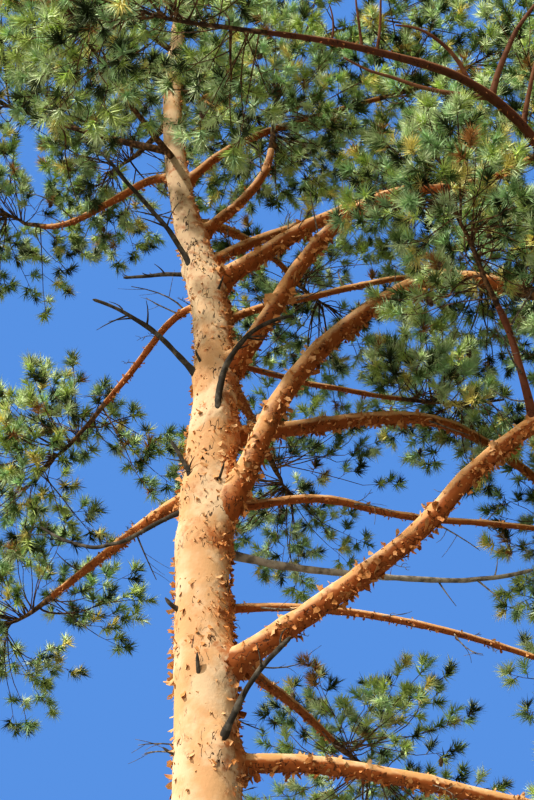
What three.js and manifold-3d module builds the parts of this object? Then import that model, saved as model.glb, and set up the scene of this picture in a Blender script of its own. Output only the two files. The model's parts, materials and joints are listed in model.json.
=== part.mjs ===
// Scots pine, a whole tree rooted in the ground.
// Millimetres, +Z up. The origin is the middle of the flat cut at ground level.
// +X is the side that most of the big boughs reach to, +Y is the far side.
import * as THREE from 'three';
import { mergeVertices } from 'three/addons/utils/BufferGeometryUtils.js';
import Module from 'manifold-3d';

const wasm = await Module();
wasm.setup();

// The trunk's axis and thickness: height, offset to the right, offset back, diameter.
const TRUNK_STATIONS = [
  [0, 0, 0, 372],
  [1300, 22, 10, 322],
  [3000, 16, 6, 292],
  [4500, 0, 0, 268],
  [5500, -42, 0, 232],
  [6200, -18, 0, 226],
  [6550, -8, 0, 198],
  [7050, -46, 0, 180],
  [7400, -122, 0, 159],
  [7800, -208, 0, 120],
  [8400, -276, 10, 98],
  [9300, -268, 60, 68],
  [10100, -216, 70, 42],
  [10900, -200, 50, 20],
];
const TRUNK_TOP = 10900;
const TRUNK_RINGS = 34;
const TRUNK_RING_CROWDING = 1.2;
const TRUNK_SIDES = 14;
const FLARE_SWELL = 0.34;
const FLARE_FADE = 240;
const FLARE_LOBES = 5;
const FLARE_LOBE_DEPTH = 0.16;
const FLARE_LOBE_TURN = 0.7;

// Clear space between two solids that touch on the real tree.
const SEAT_GAP = 0.35;
// Clear space that foliage keeps from limbs, and from the edge of its own space.
const LIMB_CLEARANCE = 4;
const SPACE_MARGIN = 3;
const FIT_CHECKS = 6;

// Live boughs. Heights are on the trunk's axis. Headings are degrees round from +X towards +Y,
// at the root and the tip. Rises are degrees above level, evenly spaced from root to tip.
// thick is the diameter at the root and the tip, and reach is the size of the foliage it bears.
const BOUGHS = [
  { name: 'low_right', height: 4592, heading: [6, 16], rise: [15, -4, -7, 0], length: 1630,
    thick: [80, 46], reach: 800 },
  { name: 'great_right', height: 4992, heading: [-24, -24], rise: [22, 26, 31, 44, 26, 42], length: 2150,
    thick: [100, 62] },
  { name: 'great_right_crook', parent: 'great_right', heading: [256, 187], rise: [85, 38, -12, -2],
    length: 2380, thick: [62, 22], reach: 780 },
  { name: 'great_right_fork', beside: 'great_right', share: 0.8, heading: [-112, -128], rise: [52, 60, 40],
    length: 520, thick: [38, 26], reach: 640 },
  { name: 'arching_right', height: 5649, heading: [-30, 10], rise: [54, 70, 50, 36, -15], length: 2190,
    thick: [106, 66], reach: 820 },
  { name: 'steep_right', height: 6564, heading: [-30, -8], rise: [37, 63, 42, -9, 38], length: 2035,
    thick: [95, 34], reach: 860 },
  { name: 'twin_right', height: 7155, heading: [-6, -6], rise: [37, 40, 24, 18], length: 1280,
    thick: [96, 44], reach: 760 },
  { name: 'slim_over_twin', height: 7290, heading: [18, 34], rise: [48, 42, 41, 34], length: 1420,
    thick: [60, 34], reach: 700 },
  { name: 'forked_right', height: 7465, heading: [-12, -12], rise: [50, 42, 61, 85], length: 740,
    thick: [60, 36], reach: 700 },
  { name: 'high_right', height: 7836, heading: [-4, 4], rise: [61, 28, 27], length: 1330,
    thick: [48, 26], reach: 840 },
  { name: 'middle_right', height: 6224, heading: [8, 40], rise: [18, 22, 22, -8, -14], length: 1980,
    thick: [78, 42], reach: 760 },
  { name: 'slender_right', height: 5833, heading: [18, 18], rise: [18, 24, -4, 9, 8, 4], length: 1900,
    thick: [44, 24], reach: 700 },
  { name: 'drooping_right', height: 5312, heading: [16, 16], rise: [18, 1, -11], length: 1550,
    thick: [39, 26], reach: 660 },
  { name: 'thin_right', height: 6901, heading: [8, 38], rise: [40, 28, 37, 27], length: 1580,
    thick: [40, 26], reach: 720 },
  { name: 'inner_right', height: 6710, heading: [26, 14], rise: [2, 3, 4], length: 980,
    thick: [32, 22], reach: 660 },
  { name: 'hanging_left', height: 7025, heading: [132, 132], rise: [48, -31, -24], length: 860,
    thick: [40, 28], reach: 700 },
  { name: 'upper_left', height: 7892, heading: [138, 132], rise: [55, 3, 15, 40], length: 1245,
    thick: [48, 28], reach: 800 },
  { name: 'low_back', height: 5150, heading: [74, 62], rise: [24, 14, 2], length: 1800,
    thick: [66, 34], reach: 820 },
  { name: 'back_left', height: 5950, heading: [112, 122], rise: [26, 12, 4], length: 1850,
    thick: [70, 34], reach: 820 },
  { name: 'middle_back', height: 6700, heading: [82, 76], rise: [34, 22, 10], length: 1850,
    thick: [74, 34], reach: 840 },
  { name: 'tall_back', height: 7600, heading: [60, 66], rise: [42, 30, 18], length: 1500,
    thick: [58, 30], reach: 860 },
];

// Dead limbs, bare and broken off, told in the same way as the live ones.
const DEAD_LIMBS = [
  { name: 'high_left', height: 7048, heading: [212, 212], rise: [68, 40, 38], length: 950,
    thick: [34, 16] },
  { name: 'short_left', height: 7248, heading: [170, 170], rise: [10, 3, 0], length: 400,
    thick: [25, 16] },
  { name: 'middle_left', height: 6459, heading: [205, 205], rise: [50, 35, -3], length: 760,
    thick: [33, 16] },
  { name: 'stub_left', height: 5838, heading: [236, 180], rise: [12, 70, 58, 66], length: 370,
    thick: [27, 14] },
  { name: 'low_left', height: 5868, heading: [146, 146], rise: [6, -15, 29, 45], length: 1030,
    thick: [24, 12] },
  { name: 'curved_front', height: 6232, heading: [-88, 8], rise: [8, 84, 56, 34, 14], length: 790,
    thick: [37, 16] },
  { name: 'low_front', height: 4580, heading: [-73, -10], rise: [8, 60, 46, 43], length: 650,
    thick: [36, 18] },
  { name: 'pale_right', height: 5638, heading: [18, 18], rise: [-7, 7, 9, 27], length: 1650,
    thick: [38, 18] },
];

// Foliage whose stem grows straight from the trunk. out is the distance along the stem from the
// trunk's axis to the middle of the foliage.
const TRUNK_SHOOTS = [
  { name: 'high_front', height: 8050, heading: 244, rise: -12, thick: 38, out: 950, reach: 760 },
  { name: 'rising_left', height: 8120, heading: 183, rise: 12, thick: 44, out: 1000, reach: 860 },
  { name: 'high_back', height: 8400, heading: 112, rise: 24, thick: 42, out: 1150, reach: 820 },
  { name: 'upper_back', height: 8720, heading: 62, rise: 30, thick: 38, out: 1120, reach: 800 },
  { name: 'top_right', height: 8850, heading: 8, rise: 24, thick: 40, out: 1240, reach: 880 },
  { name: 'top_left', height: 8980, heading: 204, rise: 24, thick: 36, out: 980, reach: 800 },
  { name: 'upper_front', height: 9400, heading: 292, rise: 26, thick: 32, out: 860, reach: 760 },
  { name: 'crest_left', height: 9850, heading: 136, rise: 34, thick: 28, out: 760, reach: 720 },
  { name: 'crest_right', height: 10120, heading: 352, rise: 38, thick: 26, out: 680, reach: 700 },
];
const LEADER = { name: 'leader', rise: 90, heading: 0, thick: 20, out: 130, reach: 668 };

// Limbs are drawn in short steps, and their solids have a ring every few steps.
const LIMB_STEPS = 36;
const COLLAR_SWELL = 0.32;
const COLLAR_FADE = 0.9;
const STOUT_LIMB = 70;
const STOUT_LIMB_SIDES = 6;
const SLIM_LIMB_SIDES = 5;
const LIVE_RING_EVERY = 4;
const DEAD_RING_EVERY = 6;

// Foliage. Each mass fills a flattened ball, as far as its neighbours leave room.
const SPACE_FLATNESS = 0.78;
const SPACE_LEAD = 0.55;
const STEM_STEPS = 4;
const STEM_LIFT = 0.1;
const STEM_SIDES = 3;
const SHOOT_SIDES = 3;
// The stem runs on past the middle of its space, and its first twig is short of the middle by
// these shares of the reach.
const STEM_PAST_MIDDLE = 0.32;
const FIRST_TWIG_BEFORE_MIDDLE = 0.45;
const LEAST_BARE_STEM = 14;
const LAST_TWIG = 0.95;
const TWIG_TRIES = 140;
const TWIGS_PER_MASS = 6;
const TWIG_LENGTH = 0.56;
const TWIG_SHORTENING = 0.72;
const TWIG_LENGTH_RANGE = [0.8, 1.2];
const TWIG_LIFT = 0.3;
// Twigs near the root of the stem lean back, and those near its end lean forward, in degrees.
const TWIG_TILT = [118, 34];
const TWIG_TILT_SPREAD = 24;
const TWIG_THICKNESS = 18;
const TURN_BETWEEN_TWIGS = THREE.MathUtils.degToRad(137.5);
const GOLDEN_SHARE = 0.618;
const SPRAYS_PER_MASS = 8;
const SPRAY_LENGTH = 0.54;
const SPRAY_SPACING = 0.32;
const SPRAY_HALF_WIDTH = 0.34;
const SPRAY_THICKNESS = 0.03;
const SPRAY_SINK = 14;
const SPRAY_SPLAY = THREE.MathUtils.degToRad(52);
const SIDE_SPRAY_SIZE = 0.8;
const SIDE_SPRAY_PLACES = [0.72, 0.42];
// The toothed edge of a spray, from where it leaves its twig to its tip: share along, share across.
const SPRAY_EDGE = [
  [0.44, 1],
  [0.52, 0.36],
  [0.78, 0.74],
  [1, 0],
];

// A mass is drawn with fewer faces where that moves its skin by less than this.
const FINEST_DETAIL = 0.05;

const UP = new THREE.Vector3(0, 0, 1);
const RIGHT = new THREE.Vector3(1, 0, 0);
const NEARLY_UPRIGHT = 0.95;

const BARK = { color: 0xc98a52, roughness: 0.86, metalness: 0 };
const BOUGH_BARK = { color: 0xb9753c, roughness: 0.86, metalness: 0 };
const DEAD_WOOD = { color: 0x5d564a, roughness: 0.92, metalness: 0 };
const NEEDLES = { color: 0x55784a, roughness: 0.62, metalness: 0 };

// A repeatable run of numbers from 0 to 1.
function seeded(seed) {
  let state = seed >>> 0;
  return () => {
    state = (state + 0x6d2b79f5) >>> 0;
    let mixed = Math.imul(state ^ (state >>> 15), state | 1);
    mixed ^= mixed + Math.imul(mixed ^ (mixed >>> 7), mixed | 61);
    return ((mixed ^ (mixed >>> 14)) >>> 0) / 4294967296;
  };
}

function directionOf(heading, rise) {
  const turn = THREE.MathUtils.degToRad(heading);
  const climb = THREE.MathUtils.degToRad(rise);
  return new THREE.Vector3(
    Math.cos(turn) * Math.cos(climb),
    Math.sin(turn) * Math.cos(climb),
    Math.sin(climb),
  );
}

// The value at a share of the way along a list of evenly spaced values.
function along(values, share) {
  const place = Math.min(Math.max(share, 0), 1) * (values.length - 1);
  const from = Math.min(Math.floor(place), values.length - 2);
  return THREE.MathUtils.lerp(values[from], values[from + 1], place - from);
}

// The trunk's axis and radius at a height: a cubic through the stations, whose slope at each
// station is that between its two neighbours.
function trunkAt(height) {
  const last = TRUNK_STATIONS.length - 1;
  let low = 0;
  while (low < last - 1 && TRUNK_STATIONS[low + 1][0] <= height) low += 1;
  const slope = (index, column) => {
    const before = TRUNK_STATIONS[Math.max(index - 1, 0)];
    const after = TRUNK_STATIONS[Math.min(index + 1, last)];
    return (after[column] - before[column]) / (after[0] - before[0]);
  };
  const span = TRUNK_STATIONS[low + 1][0] - TRUNK_STATIONS[low][0];
  const t = (height - TRUNK_STATIONS[low][0]) / span;
  const cubic = (column) => {
    const start = TRUNK_STATIONS[low][column];
    const end = TRUNK_STATIONS[low + 1][column];
    return start * (2 * t ** 3 - 3 * t ** 2 + 1) + slope(low, column) * span * (t ** 3 - 2 * t ** 2 + t)
      + end * (3 * t ** 2 - 2 * t ** 3) + slope(low + 1, column) * span * (t ** 3 - t ** 2);
  };
  return { centre: new THREE.Vector3(cubic(1), cubic(2), height), radius: cubic(3) / 2 };
}

function flareAt(height, angle) {
  const fade = Math.exp(-height / FLARE_FADE);
  const lobes = 1 + FLARE_LOBE_DEPTH * Math.cos(FLARE_LOBES * angle + FLARE_LOBE_TURN) * 2;
  return 1 + FLARE_SWELL * fade * lobes;
}

// A limb's centre line: short steps whose heading and rise change evenly between the given values.
function centreLine(start, heading, rise, length) {
  const points = [start.clone()];
  const directions = [directionOf(heading[0], rise[0])];
  for (let step = 0; step < LIMB_STEPS; step += 1) {
    const middle = (step + 0.5) / LIMB_STEPS;
    const stride = directionOf(along(heading, middle), along(rise, middle));
    points.push(points[step].clone().addScaledVector(stride, length / LIMB_STEPS));
    const end = (step + 1) / LIMB_STEPS;
    directions.push(directionOf(along(heading, end), along(rise, end)));
  }
  return { points, directions };
}

// Turns a geometry into a solid that can be cut and joined.
function toSolid(geometry) {
  const bare = geometry.index ? geometry.toNonIndexed() : geometry.clone();
  bare.deleteAttribute('normal');
  bare.deleteAttribute('uv');
  const merged = mergeVertices(bare, 1e-3);
  const corners = [];
  for (let face = 0; face < merged.index.count; face += 3) {
    const [a, b, c] = [0, 1, 2].map((corner) => merged.index.getX(face + corner));
    if (a !== b && b !== c && a !== c) corners.push(a, b, c);
  }
  return new wasm.Manifold(new wasm.Mesh({
    numProp: 3,
    vertProperties: new Float32Array(merged.attributes.position.array),
    triVerts: new Uint32Array(corners),
  }));
}

function toMesh(solid, name, look) {
  const { vertProperties, triVerts } = solid.getMesh();
  const geometry = new THREE.BufferGeometry();
  geometry.setAttribute('position', new THREE.BufferAttribute(vertProperties, 3));
  geometry.setIndex(new THREE.BufferAttribute(triVerts, 1));
  geometry.computeVertexNormals();
  const mesh = new THREE.Mesh(geometry, new THREE.MeshStandardMaterial(look));
  mesh.name = name;
  return mesh;
}

// A closed rod turned on a lathe, then laid along a centre line. Its rings stay square to the line
// and don't twist about the sideways direction. Each ring is [half the width, half the thickness].
function rod(points, directions, rings, sides, sideways) {
  const last = points.length - 1;
  const profile = [new THREE.Vector2(0, 0)];
  rings.forEach((ring, index) => profile.push(new THREE.Vector2(1, index)));
  profile.push(new THREE.Vector2(0, last));
  const geometry = new THREE.LatheGeometry(profile, sides);
  const place = geometry.attributes.position;
  const widest = Math.sin(2 * Math.PI * Math.round(sides / 4) / sides);
  for (let index = 0; index < place.count; index += 1) {
    const ring = Math.round(place.getY(index));
    const forward = directions[ring];
    const side = sideways.clone().addScaledVector(forward, -sideways.dot(forward)).normalize();
    const over = forward.clone().cross(side);
    const spot = points[ring].clone()
      .addScaledVector(side, place.getX(index) / widest * rings[ring][0])
      .addScaledVector(over, -place.getZ(index) * rings[ring][1]);
    place.setXYZ(index, spot.x, spot.y, spot.z);
  }
  return outward(toSolid(geometry), geometry);
}

// The same solid with its faces pointing outwards.
function outward(solid, geometry) {
  if (solid.volume() > 0) return solid;
  const flipped = geometry.toNonIndexed();
  const place = flipped.attributes.position;
  for (let face = 0; face < place.count; face += 3) {
    const corner = new THREE.Vector3().fromBufferAttribute(place, face);
    place.setXYZ(face, place.getX(face + 1), place.getY(face + 1), place.getZ(face + 1));
    place.setXYZ(face + 1, corner.x, corner.y, corner.z);
  }
  return toSolid(flipped);
}

// The trunk, or with extra room round it, the tool that cuts limbs to fit it.
function trunkSolid(extra) {
  const heights = [];
  for (let ring = 0; ring <= TRUNK_RINGS; ring += 1) {
    heights.push(TRUNK_TOP * (ring / TRUNK_RINGS) ** TRUNK_RING_CROWDING);
  }
  const profile = [new THREE.Vector2(0, 0)];
  heights.forEach((height, ring) => profile.push(new THREE.Vector2(1, ring)));
  profile.push(new THREE.Vector2(0, TRUNK_RINGS));
  const geometry = new THREE.LatheGeometry(profile, TRUNK_SIDES);
  const place = geometry.attributes.position;
  for (let index = 0; index < place.count; index += 1) {
    const height = heights[Math.round(place.getY(index))];
    const { centre, radius } = trunkAt(height);
    const [x, y] = [place.getX(index), place.getZ(index)];
    const swell = radius * flareAt(height, Math.atan2(y, x)) + extra;
    place.setXYZ(index, centre.x + x * swell, centre.y + y * swell, height);
  }
  return outward(toSolid(geometry), geometry);
}

function collarAt(distance, thickness) {
  return 1 + COLLAR_SWELL * Math.exp(-distance / (thickness * COLLAR_FADE));
}

// The spot just clear of a limb's tip, where what it bears goes on.
function clearOfTip(limb) {
  return limb.points[LIMB_STEPS].clone().addScaledVector(limb.directions[LIMB_STEPS], SEAT_GAP);
}

// Where a limb lies: its centre line, and its radius at each step. A limb starts on the trunk's
// axis, on the axis of the limb that it stands beside, or just clear of the tip that it goes on from.
function layOut(limb, placed) {
  const parent = placed.get(limb.parent ?? limb.beside);
  let start;
  if (limb.parent) start = clearOfTip(parent);
  else if (limb.beside) start = parent.points[Math.round(limb.share * LIMB_STEPS)];
  else start = trunkAt(limb.height).centre;
  const line = centreLine(start, limb.heading, limb.rise, limb.length);
  if (limb.parent) line.directions[0] = parent.directions[LIMB_STEPS].clone();
  const radii = line.points.map((point, step) => {
    const share = step / LIMB_STEPS;
    const collar = limb.parent ? 1 : collarAt(share * limb.length, limb.thick[0]);
    return THREE.MathUtils.lerp(limb.thick[0], limb.thick[1], share) / 2 * collar;
  });
  const middleHeading = (limb.heading[0] + limb.heading[1]) / 2;
  const sideways = limb.parent ? parent.sideways : directionOf(middleHeading - 90, 0);
  return { ...limb, ...line, radii, sideways };
}

// A limb's solid, swollen all round by some extra room where it is to be a cutting tool.
function limbRod(limb, sides, ringEvery, extra) {
  const rings = limb.points.map((point, step) => step).filter((step) => step % ringEvery === 0);
  return rod(
    rings.map((step) => limb.points[step]),
    rings.map((step) => limb.directions[step]),
    rings.map((step) => [limb.radii[step] + extra, limb.radii[step] + extra]),
    sides,
    limb.sideways,
  );
}

function sidesOf(limb) {
  return limb.thick[0] > STOUT_LIMB ? STOUT_LIMB_SIDES : SLIM_LIMB_SIDES;
}

function limbSolid(limb, ringEvery, trunkCutter, placed) {
  const whole = limbRod(limb, sidesOf(limb), ringEvery, 0);
  if (limb.parent) return whole;
  const bearer = placed.get(limb.beside);
  const cutter = bearer ? limbRod(bearer, sidesOf(bearer), ringEvery, SEAT_GAP) : trunkCutter;
  return largestPiece(whole.subtract(cutter));
}

// The largest of a solid's separate skins, with no scraps and no sealed hollows.
function largestPiece(solid) {
  const pieces = solid.decompose();
  return pieces.reduce((best, piece) => (piece.volume() > best.volume() ? piece : best));
}

// How far a point is from the skin of the nearest limb or stem, leaving one bearer's own out.
function distanceToLimbs(point, limbs, leaveOut) {
  let nearest = Infinity;
  const step = new THREE.Vector3();
  const offset = new THREE.Vector3();
  limbs.forEach((limb) => {
    if (limb.name === leaveOut) return;
    for (let index = 0; index < limb.points.length - 1; index += 1) {
      step.subVectors(limb.points[index + 1], limb.points[index]);
      offset.subVectors(point, limb.points[index]);
      const share = Math.min(Math.max(offset.dot(step) / step.lengthSq(), 0), 1);
      const radius = Math.max(limb.radii[index], limb.radii[index + 1]);
      nearest = Math.min(nearest, offset.addScaledVector(step, -share).length() - radius);
    }
  });
  return nearest;
}

// The space of each mass: a flattened ball, cut off by a flat wall towards each neighbour.
function setSpaces(masses) {
  const stretch = (point) => new THREE.Vector3(point.x, point.y, point.z / SPACE_FLATNESS);
  masses.forEach((mass) => {
    mass.centre = stretch(mass.root.clone().addScaledVector(mass.forward, mass.out));
  });
  masses.forEach((mass) => {
    mass.walls = masses.filter((other) => other !== mass).map((other) => {
      const normal = other.centre.clone().sub(mass.centre);
      const apart = normal.length();
      const at = (apart ** 2 + mass.reach ** 2 - other.reach ** 2) / (2 * apart);
      return { normal: normal.divideScalar(apart), at };
    });
    mass.holds = (point, room) => {
      const offset = stretch(point).sub(mass.centre);
      const pad = room / SPACE_FLATNESS;
      return offset.length() + pad <= mass.reach
        && mass.walls.every((wall) => offset.dot(wall.normal) + pad <= wall.at);
    };
  });
}

// Whether a round rod from one point to another stays in its mass's space and clear of all limbs.
function fits(mass, limbs, from, to, radius) {
  for (let check = 0; check <= FIT_CHECKS; check += 1) {
    const point = from.clone().lerp(to, check / FIT_CHECKS);
    if (!mass.holds(point, radius + SPACE_MARGIN)) return false;
    if (distanceToLimbs(point, limbs, mass.name) < radius + LIMB_CLEARANCE) return false;
  }
  return true;
}

// A direction tilted away from another by an angle, towards a side given by a turn about it.
function tilted(forward, tilt, turn) {
  const side = forward.clone().cross(Math.abs(forward.z) > NEARLY_UPRIGHT ? RIGHT : UP).normalize();
  const over = forward.clone().cross(side);
  return forward.clone().multiplyScalar(Math.cos(tilt))
    .addScaledVector(side, Math.sin(tilt) * Math.cos(turn))
    .addScaledVector(over, Math.sin(tilt) * Math.sin(turn));
}

// A stem's centre line, which lifts towards the light as it goes, and its radius at each step.
function stemLine(mass) {
  const points = [mass.root.clone()];
  const directions = [mass.forward.clone()];
  const length = mass.out + mass.reach * STEM_PAST_MIDDLE;
  for (let step = 0; step < STEM_STEPS; step += 1) {
    const next = directions[step].clone().addScaledVector(UP, STEM_LIFT).normalize();
    points.push(points[step].clone().addScaledVector(directions[step], length / STEM_STEPS));
    directions.push(next);
  }
  const radii = points.map((point, step) => along([mass.thick, TWIG_THICKNESS], step / STEM_STEPS) / 2);
  return { name: mass.name, points, directions, radii, length };
}

// A shoot is a length of bare wood, which may be none, that ends in a spray of needles lifted to
// the light. This sets one out, or gives nothing where it would not fit.
function placeShoot(mass, limbs, shoots, root, forward, wood, length, roll) {
  const onward = forward.clone().addScaledVector(UP, TWIG_LIFT).normalize();
  const across = tilted(onward, Math.PI / 2, Math.PI * roll);
  const neck = root.clone().addScaledVector(forward, wood);
  const tip = neck.clone().addScaledVector(onward, length);
  const middle = neck.clone().lerp(tip, 0.5);
  const halfWidth = length * SPRAY_HALF_WIDTH;
  const thickness = length * SPRAY_THICKNESS;
  const edges = SPRAY_EDGE.flatMap(([far, wide]) => [wide, -wide].map((side) => neck.clone()
    .addScaledVector(onward, far * length).addScaledVector(across, side * halfWidth)));
  const roomy = shoots.every((other) => other.middle.distanceTo(middle) > mass.reach * SPRAY_SPACING);
  const clear = roomy && edges.every((point) => mass.holds(point, SPACE_MARGIN + thickness)
    && distanceToLimbs(point, limbs, mass.name) > LIMB_CLEARANCE + thickness);
  const good = clear && (!wood || fits(mass, limbs, root, neck, TWIG_THICKNESS / 2))
    && fits(mass, limbs, neck, tip, thickness);
  if (!good) return undefined;
  return { root, wood, neck, middle, forward, onward, across, length, halfWidth, thickness };
}

// A shoot's solid: three-sided wood that widens into a thin blade with a toothed edge.
function shootSolid(shoot) {
  const stout = TWIG_THICKNESS / 2;
  const points = [shoot.root];
  const directions = [shoot.forward];
  const rings = [[stout, stout]];
  if (shoot.wood) {
    points.push(shoot.neck);
    directions.push(shoot.onward);
    rings.push([stout, stout]);
  }
  SPRAY_EDGE.forEach(([far, wide]) => {
    points.push(shoot.neck.clone().addScaledVector(shoot.onward, far * shoot.length));
    directions.push(shoot.onward);
    rings.push([wide * shoot.halfWidth, wide ? shoot.thickness / 2 : 0]);
  });
  return rod(points, directions, rings, SHOOT_SIDES, shoot.across);
}

// One mass of foliage by the seeded rule: a stem that ends in a spray, twigs set round it by a
// fixed turn, each ending in a spray, and smaller sprays along the twigs. What would leave the
// space or touch a limb is skipped.
function growMass(mass, limbs) {
  const random = seeded(mass.seed);
  const { stem } = mass;
  const shoots = [];
  const spray = mass.reach * SPRAY_LENGTH;
  const add = (root, forward, wood, size, roll) => {
    if (shoots.length === SPRAYS_PER_MASS) return undefined;
    const shoot = placeShoot(mass, limbs, shoots, root, forward, wood, size, roll);
    if (shoot) shoots.push(shoot);
    return shoot;
  };
  const stemEnd = stem.directions[STEM_STEPS];
  add(stem.points[STEM_STEPS].clone().addScaledVector(stemEnd, -SPRAY_SINK), stemEnd, 0, spray, random());
  const first = Math.max(mass.out - mass.reach * FIRST_TWIG_BEFORE_MIDDLE, LEAST_BARE_STEM) / stem.length;
  let twigs = 0;
  for (let attempt = 0; attempt < TWIG_TRIES; attempt += 1) {
    const spread = (attempt * GOLDEN_SHARE) % 1;
    const share = first + (LAST_TWIG - first) * spread;
    const turn = attempt * TURN_BETWEEN_TWIGS + random();
    const tilt = THREE.MathUtils.degToRad(along(TWIG_TILT, spread) + TWIG_TILT_SPREAD * (random() - 0.5));
    const shorter = 1 - TWIG_SHORTENING * attempt / TWIG_TRIES;
    const wood = mass.reach * TWIG_LENGTH * shorter * along(TWIG_LENGTH_RANGE, random());
    const rolls = [random(), random(), random()];
    if (twigs === TWIGS_PER_MASS) continue;
    const from = Math.min(Math.floor(share * STEM_STEPS), STEM_STEPS - 1);
    const root = stem.points[from].clone().lerp(stem.points[from + 1], share * STEM_STEPS - from);
    const twig = add(root, tilted(stem.directions[from], tilt, turn), wood, spray, rolls[0]);
    if (!twig) continue;
    twigs += 1;
    SIDE_SPRAY_PLACES.forEach((place, index) => {
      const spot = twig.root.clone().lerp(twig.neck, place);
      const sideways = tilted(twig.forward, SPRAY_SPLAY, rolls[1] - 0.5 + index * Math.PI);
      add(spot, sideways, 0, spray * SIDE_SPRAY_SIZE, rolls[index + 1]);
    });
  }
  return shoots;
}

function massSolid(mass, limbs, trunkCutter) {
  const { stem } = mass;
  const rings = stem.radii.map((radius) => [radius, radius]);
  let solid = rod(stem.points, stem.directions, rings, STEM_SIDES, tilted(mass.forward, Math.PI / 2, 0));
  if (mass.fromTrunk) solid = largestPiece(solid.subtract(trunkCutter));
  growMass(mass, limbs).forEach((shoot) => {
    solid = solid.add(shootSolid(shoot));
  });
  return largestPiece(solid).simplify(FINEST_DETAIL);
}

// Every limb, from the trunk out.
const placed = new Map();
BOUGHS.forEach((limb) => {
  placed.set(limb.name, { ...layOut(limb, placed), look: BOUGH_BARK, kind: 'bough' });
});
const deadLimbs = DEAD_LIMBS.map((limb) => ({ ...layOut(limb, placed), look: DEAD_WOOD, kind: 'dead' }));
const limbs = [...placed.values(), ...deadLimbs];
const trunkRings = [...Array(TRUNK_RINGS + 1).keys()];
const trunkLine = trunkRings.map((ring) => trunkAt(TRUNK_TOP * ring / TRUNK_RINGS));
const trunkLimb = {
  points: trunkLine.map((station) => station.centre),
  radii: trunkLine.map((station) => station.radius),
};

// Every mass, on the limb's tip or the trunk that bears it.
const masses = limbs.filter((limb) => limb.reach).map((limb) => ({
  name: limb.name,
  root: clearOfTip(limb),
  forward: limb.directions[LIMB_STEPS],
  thick: limb.thick[1],
  out: limb.reach * SPACE_LEAD,
  reach: limb.reach,
}));
TRUNK_SHOOTS.forEach((shoot) => masses.push({
  ...shoot,
  fromTrunk: true,
  root: trunkAt(shoot.height).centre,
  forward: directionOf(shoot.heading, shoot.rise),
}));
masses.push({
  ...LEADER,
  root: trunkAt(TRUNK_TOP).centre.addScaledVector(UP, SEAT_GAP),
  forward: directionOf(LEADER.heading, LEADER.rise),
});
setSpaces(masses);
masses.forEach((mass, index) => {
  mass.seed = index + 1;
  mass.stem = stemLine(mass);
});
const bareLimbs = limbs.map(({ points, radii }) => ({ points, radii }));
const obstacles = [trunkLimb, ...bareLimbs, ...masses.map((mass) => mass.stem)];

const trunkCutter = trunkSolid(SEAT_GAP);
const tree = new THREE.Group();
tree.add(toMesh(trunkSolid(0), 'trunk', BARK));
limbs.forEach((limb) => {
  const ringEvery = limb.kind === 'dead' ? DEAD_RING_EVERY : LIVE_RING_EVERY;
  tree.add(toMesh(limbSolid(limb, ringEvery, trunkCutter, placed), `${limb.kind}_${limb.name}`, limb.look));
});
masses.forEach((mass) => {
  tree.add(toMesh(massSolid(mass, obstacles, trunkCutter), `foliage_${mass.name}`, NEEDLES));
});

export default tree;
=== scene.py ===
"""Scots pine: bark, flakes, dead limbs, twigs, needles and cones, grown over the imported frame.

The plant is worked out in millimetres, +Z up, as its solids are, and goes into Blender in metres.
"""
import json
import logging
import math
from dataclasses import dataclass, field
from enum import Enum
from typing import Any, ClassVar, Iterator, Sequence

import bpy
import numpy as np
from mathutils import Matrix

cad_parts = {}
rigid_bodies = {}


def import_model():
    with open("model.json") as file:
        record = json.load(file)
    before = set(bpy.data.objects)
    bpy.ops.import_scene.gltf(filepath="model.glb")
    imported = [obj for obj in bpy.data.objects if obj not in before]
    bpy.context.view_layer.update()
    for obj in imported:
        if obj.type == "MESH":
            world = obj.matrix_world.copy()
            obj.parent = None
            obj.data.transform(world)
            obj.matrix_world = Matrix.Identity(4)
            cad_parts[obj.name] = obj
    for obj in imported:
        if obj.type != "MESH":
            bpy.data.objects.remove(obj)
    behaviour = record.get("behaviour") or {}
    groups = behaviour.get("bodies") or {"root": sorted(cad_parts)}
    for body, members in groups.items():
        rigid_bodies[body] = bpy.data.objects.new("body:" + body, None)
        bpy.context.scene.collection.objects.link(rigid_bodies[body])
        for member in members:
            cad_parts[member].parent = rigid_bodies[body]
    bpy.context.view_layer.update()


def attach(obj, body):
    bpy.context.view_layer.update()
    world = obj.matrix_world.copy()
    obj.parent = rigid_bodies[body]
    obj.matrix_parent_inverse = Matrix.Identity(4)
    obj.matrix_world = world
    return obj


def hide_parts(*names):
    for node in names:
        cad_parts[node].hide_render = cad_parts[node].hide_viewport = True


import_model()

log = logging.getLogger("scots_pine")

Array = np.ndarray
MM = 0.001
UP = np.array([0.0, 0.0, 1.0])
RIGHT = np.array([1.0, 0.0, 0.0])
GOLDEN_TURN = math.radians(137.5)
WORD = 0xFFFFFFFF

# The trunk's axis and thickness: height, offset to the right, offset back, diameter.
TRUNK_STATIONS = np.array([
    [0, 0, 0, 372], [1300, 22, 10, 322], [3000, 16, 6, 292], [4500, 0, 0, 268], [5500, -42, 0, 232],
    [6200, -18, 0, 226], [6550, -8, 0, 198], [7050, -46, 0, 180], [7400, -122, 0, 159],
    [7800, -208, 0, 120], [8400, -276, 10, 98], [9300, -268, 60, 68], [10100, -216, 70, 42],
    [10900, -200, 50, 20],
], float)
TRUNK_TOP = 10900.0
TRUNK_RINGS = 34

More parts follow.
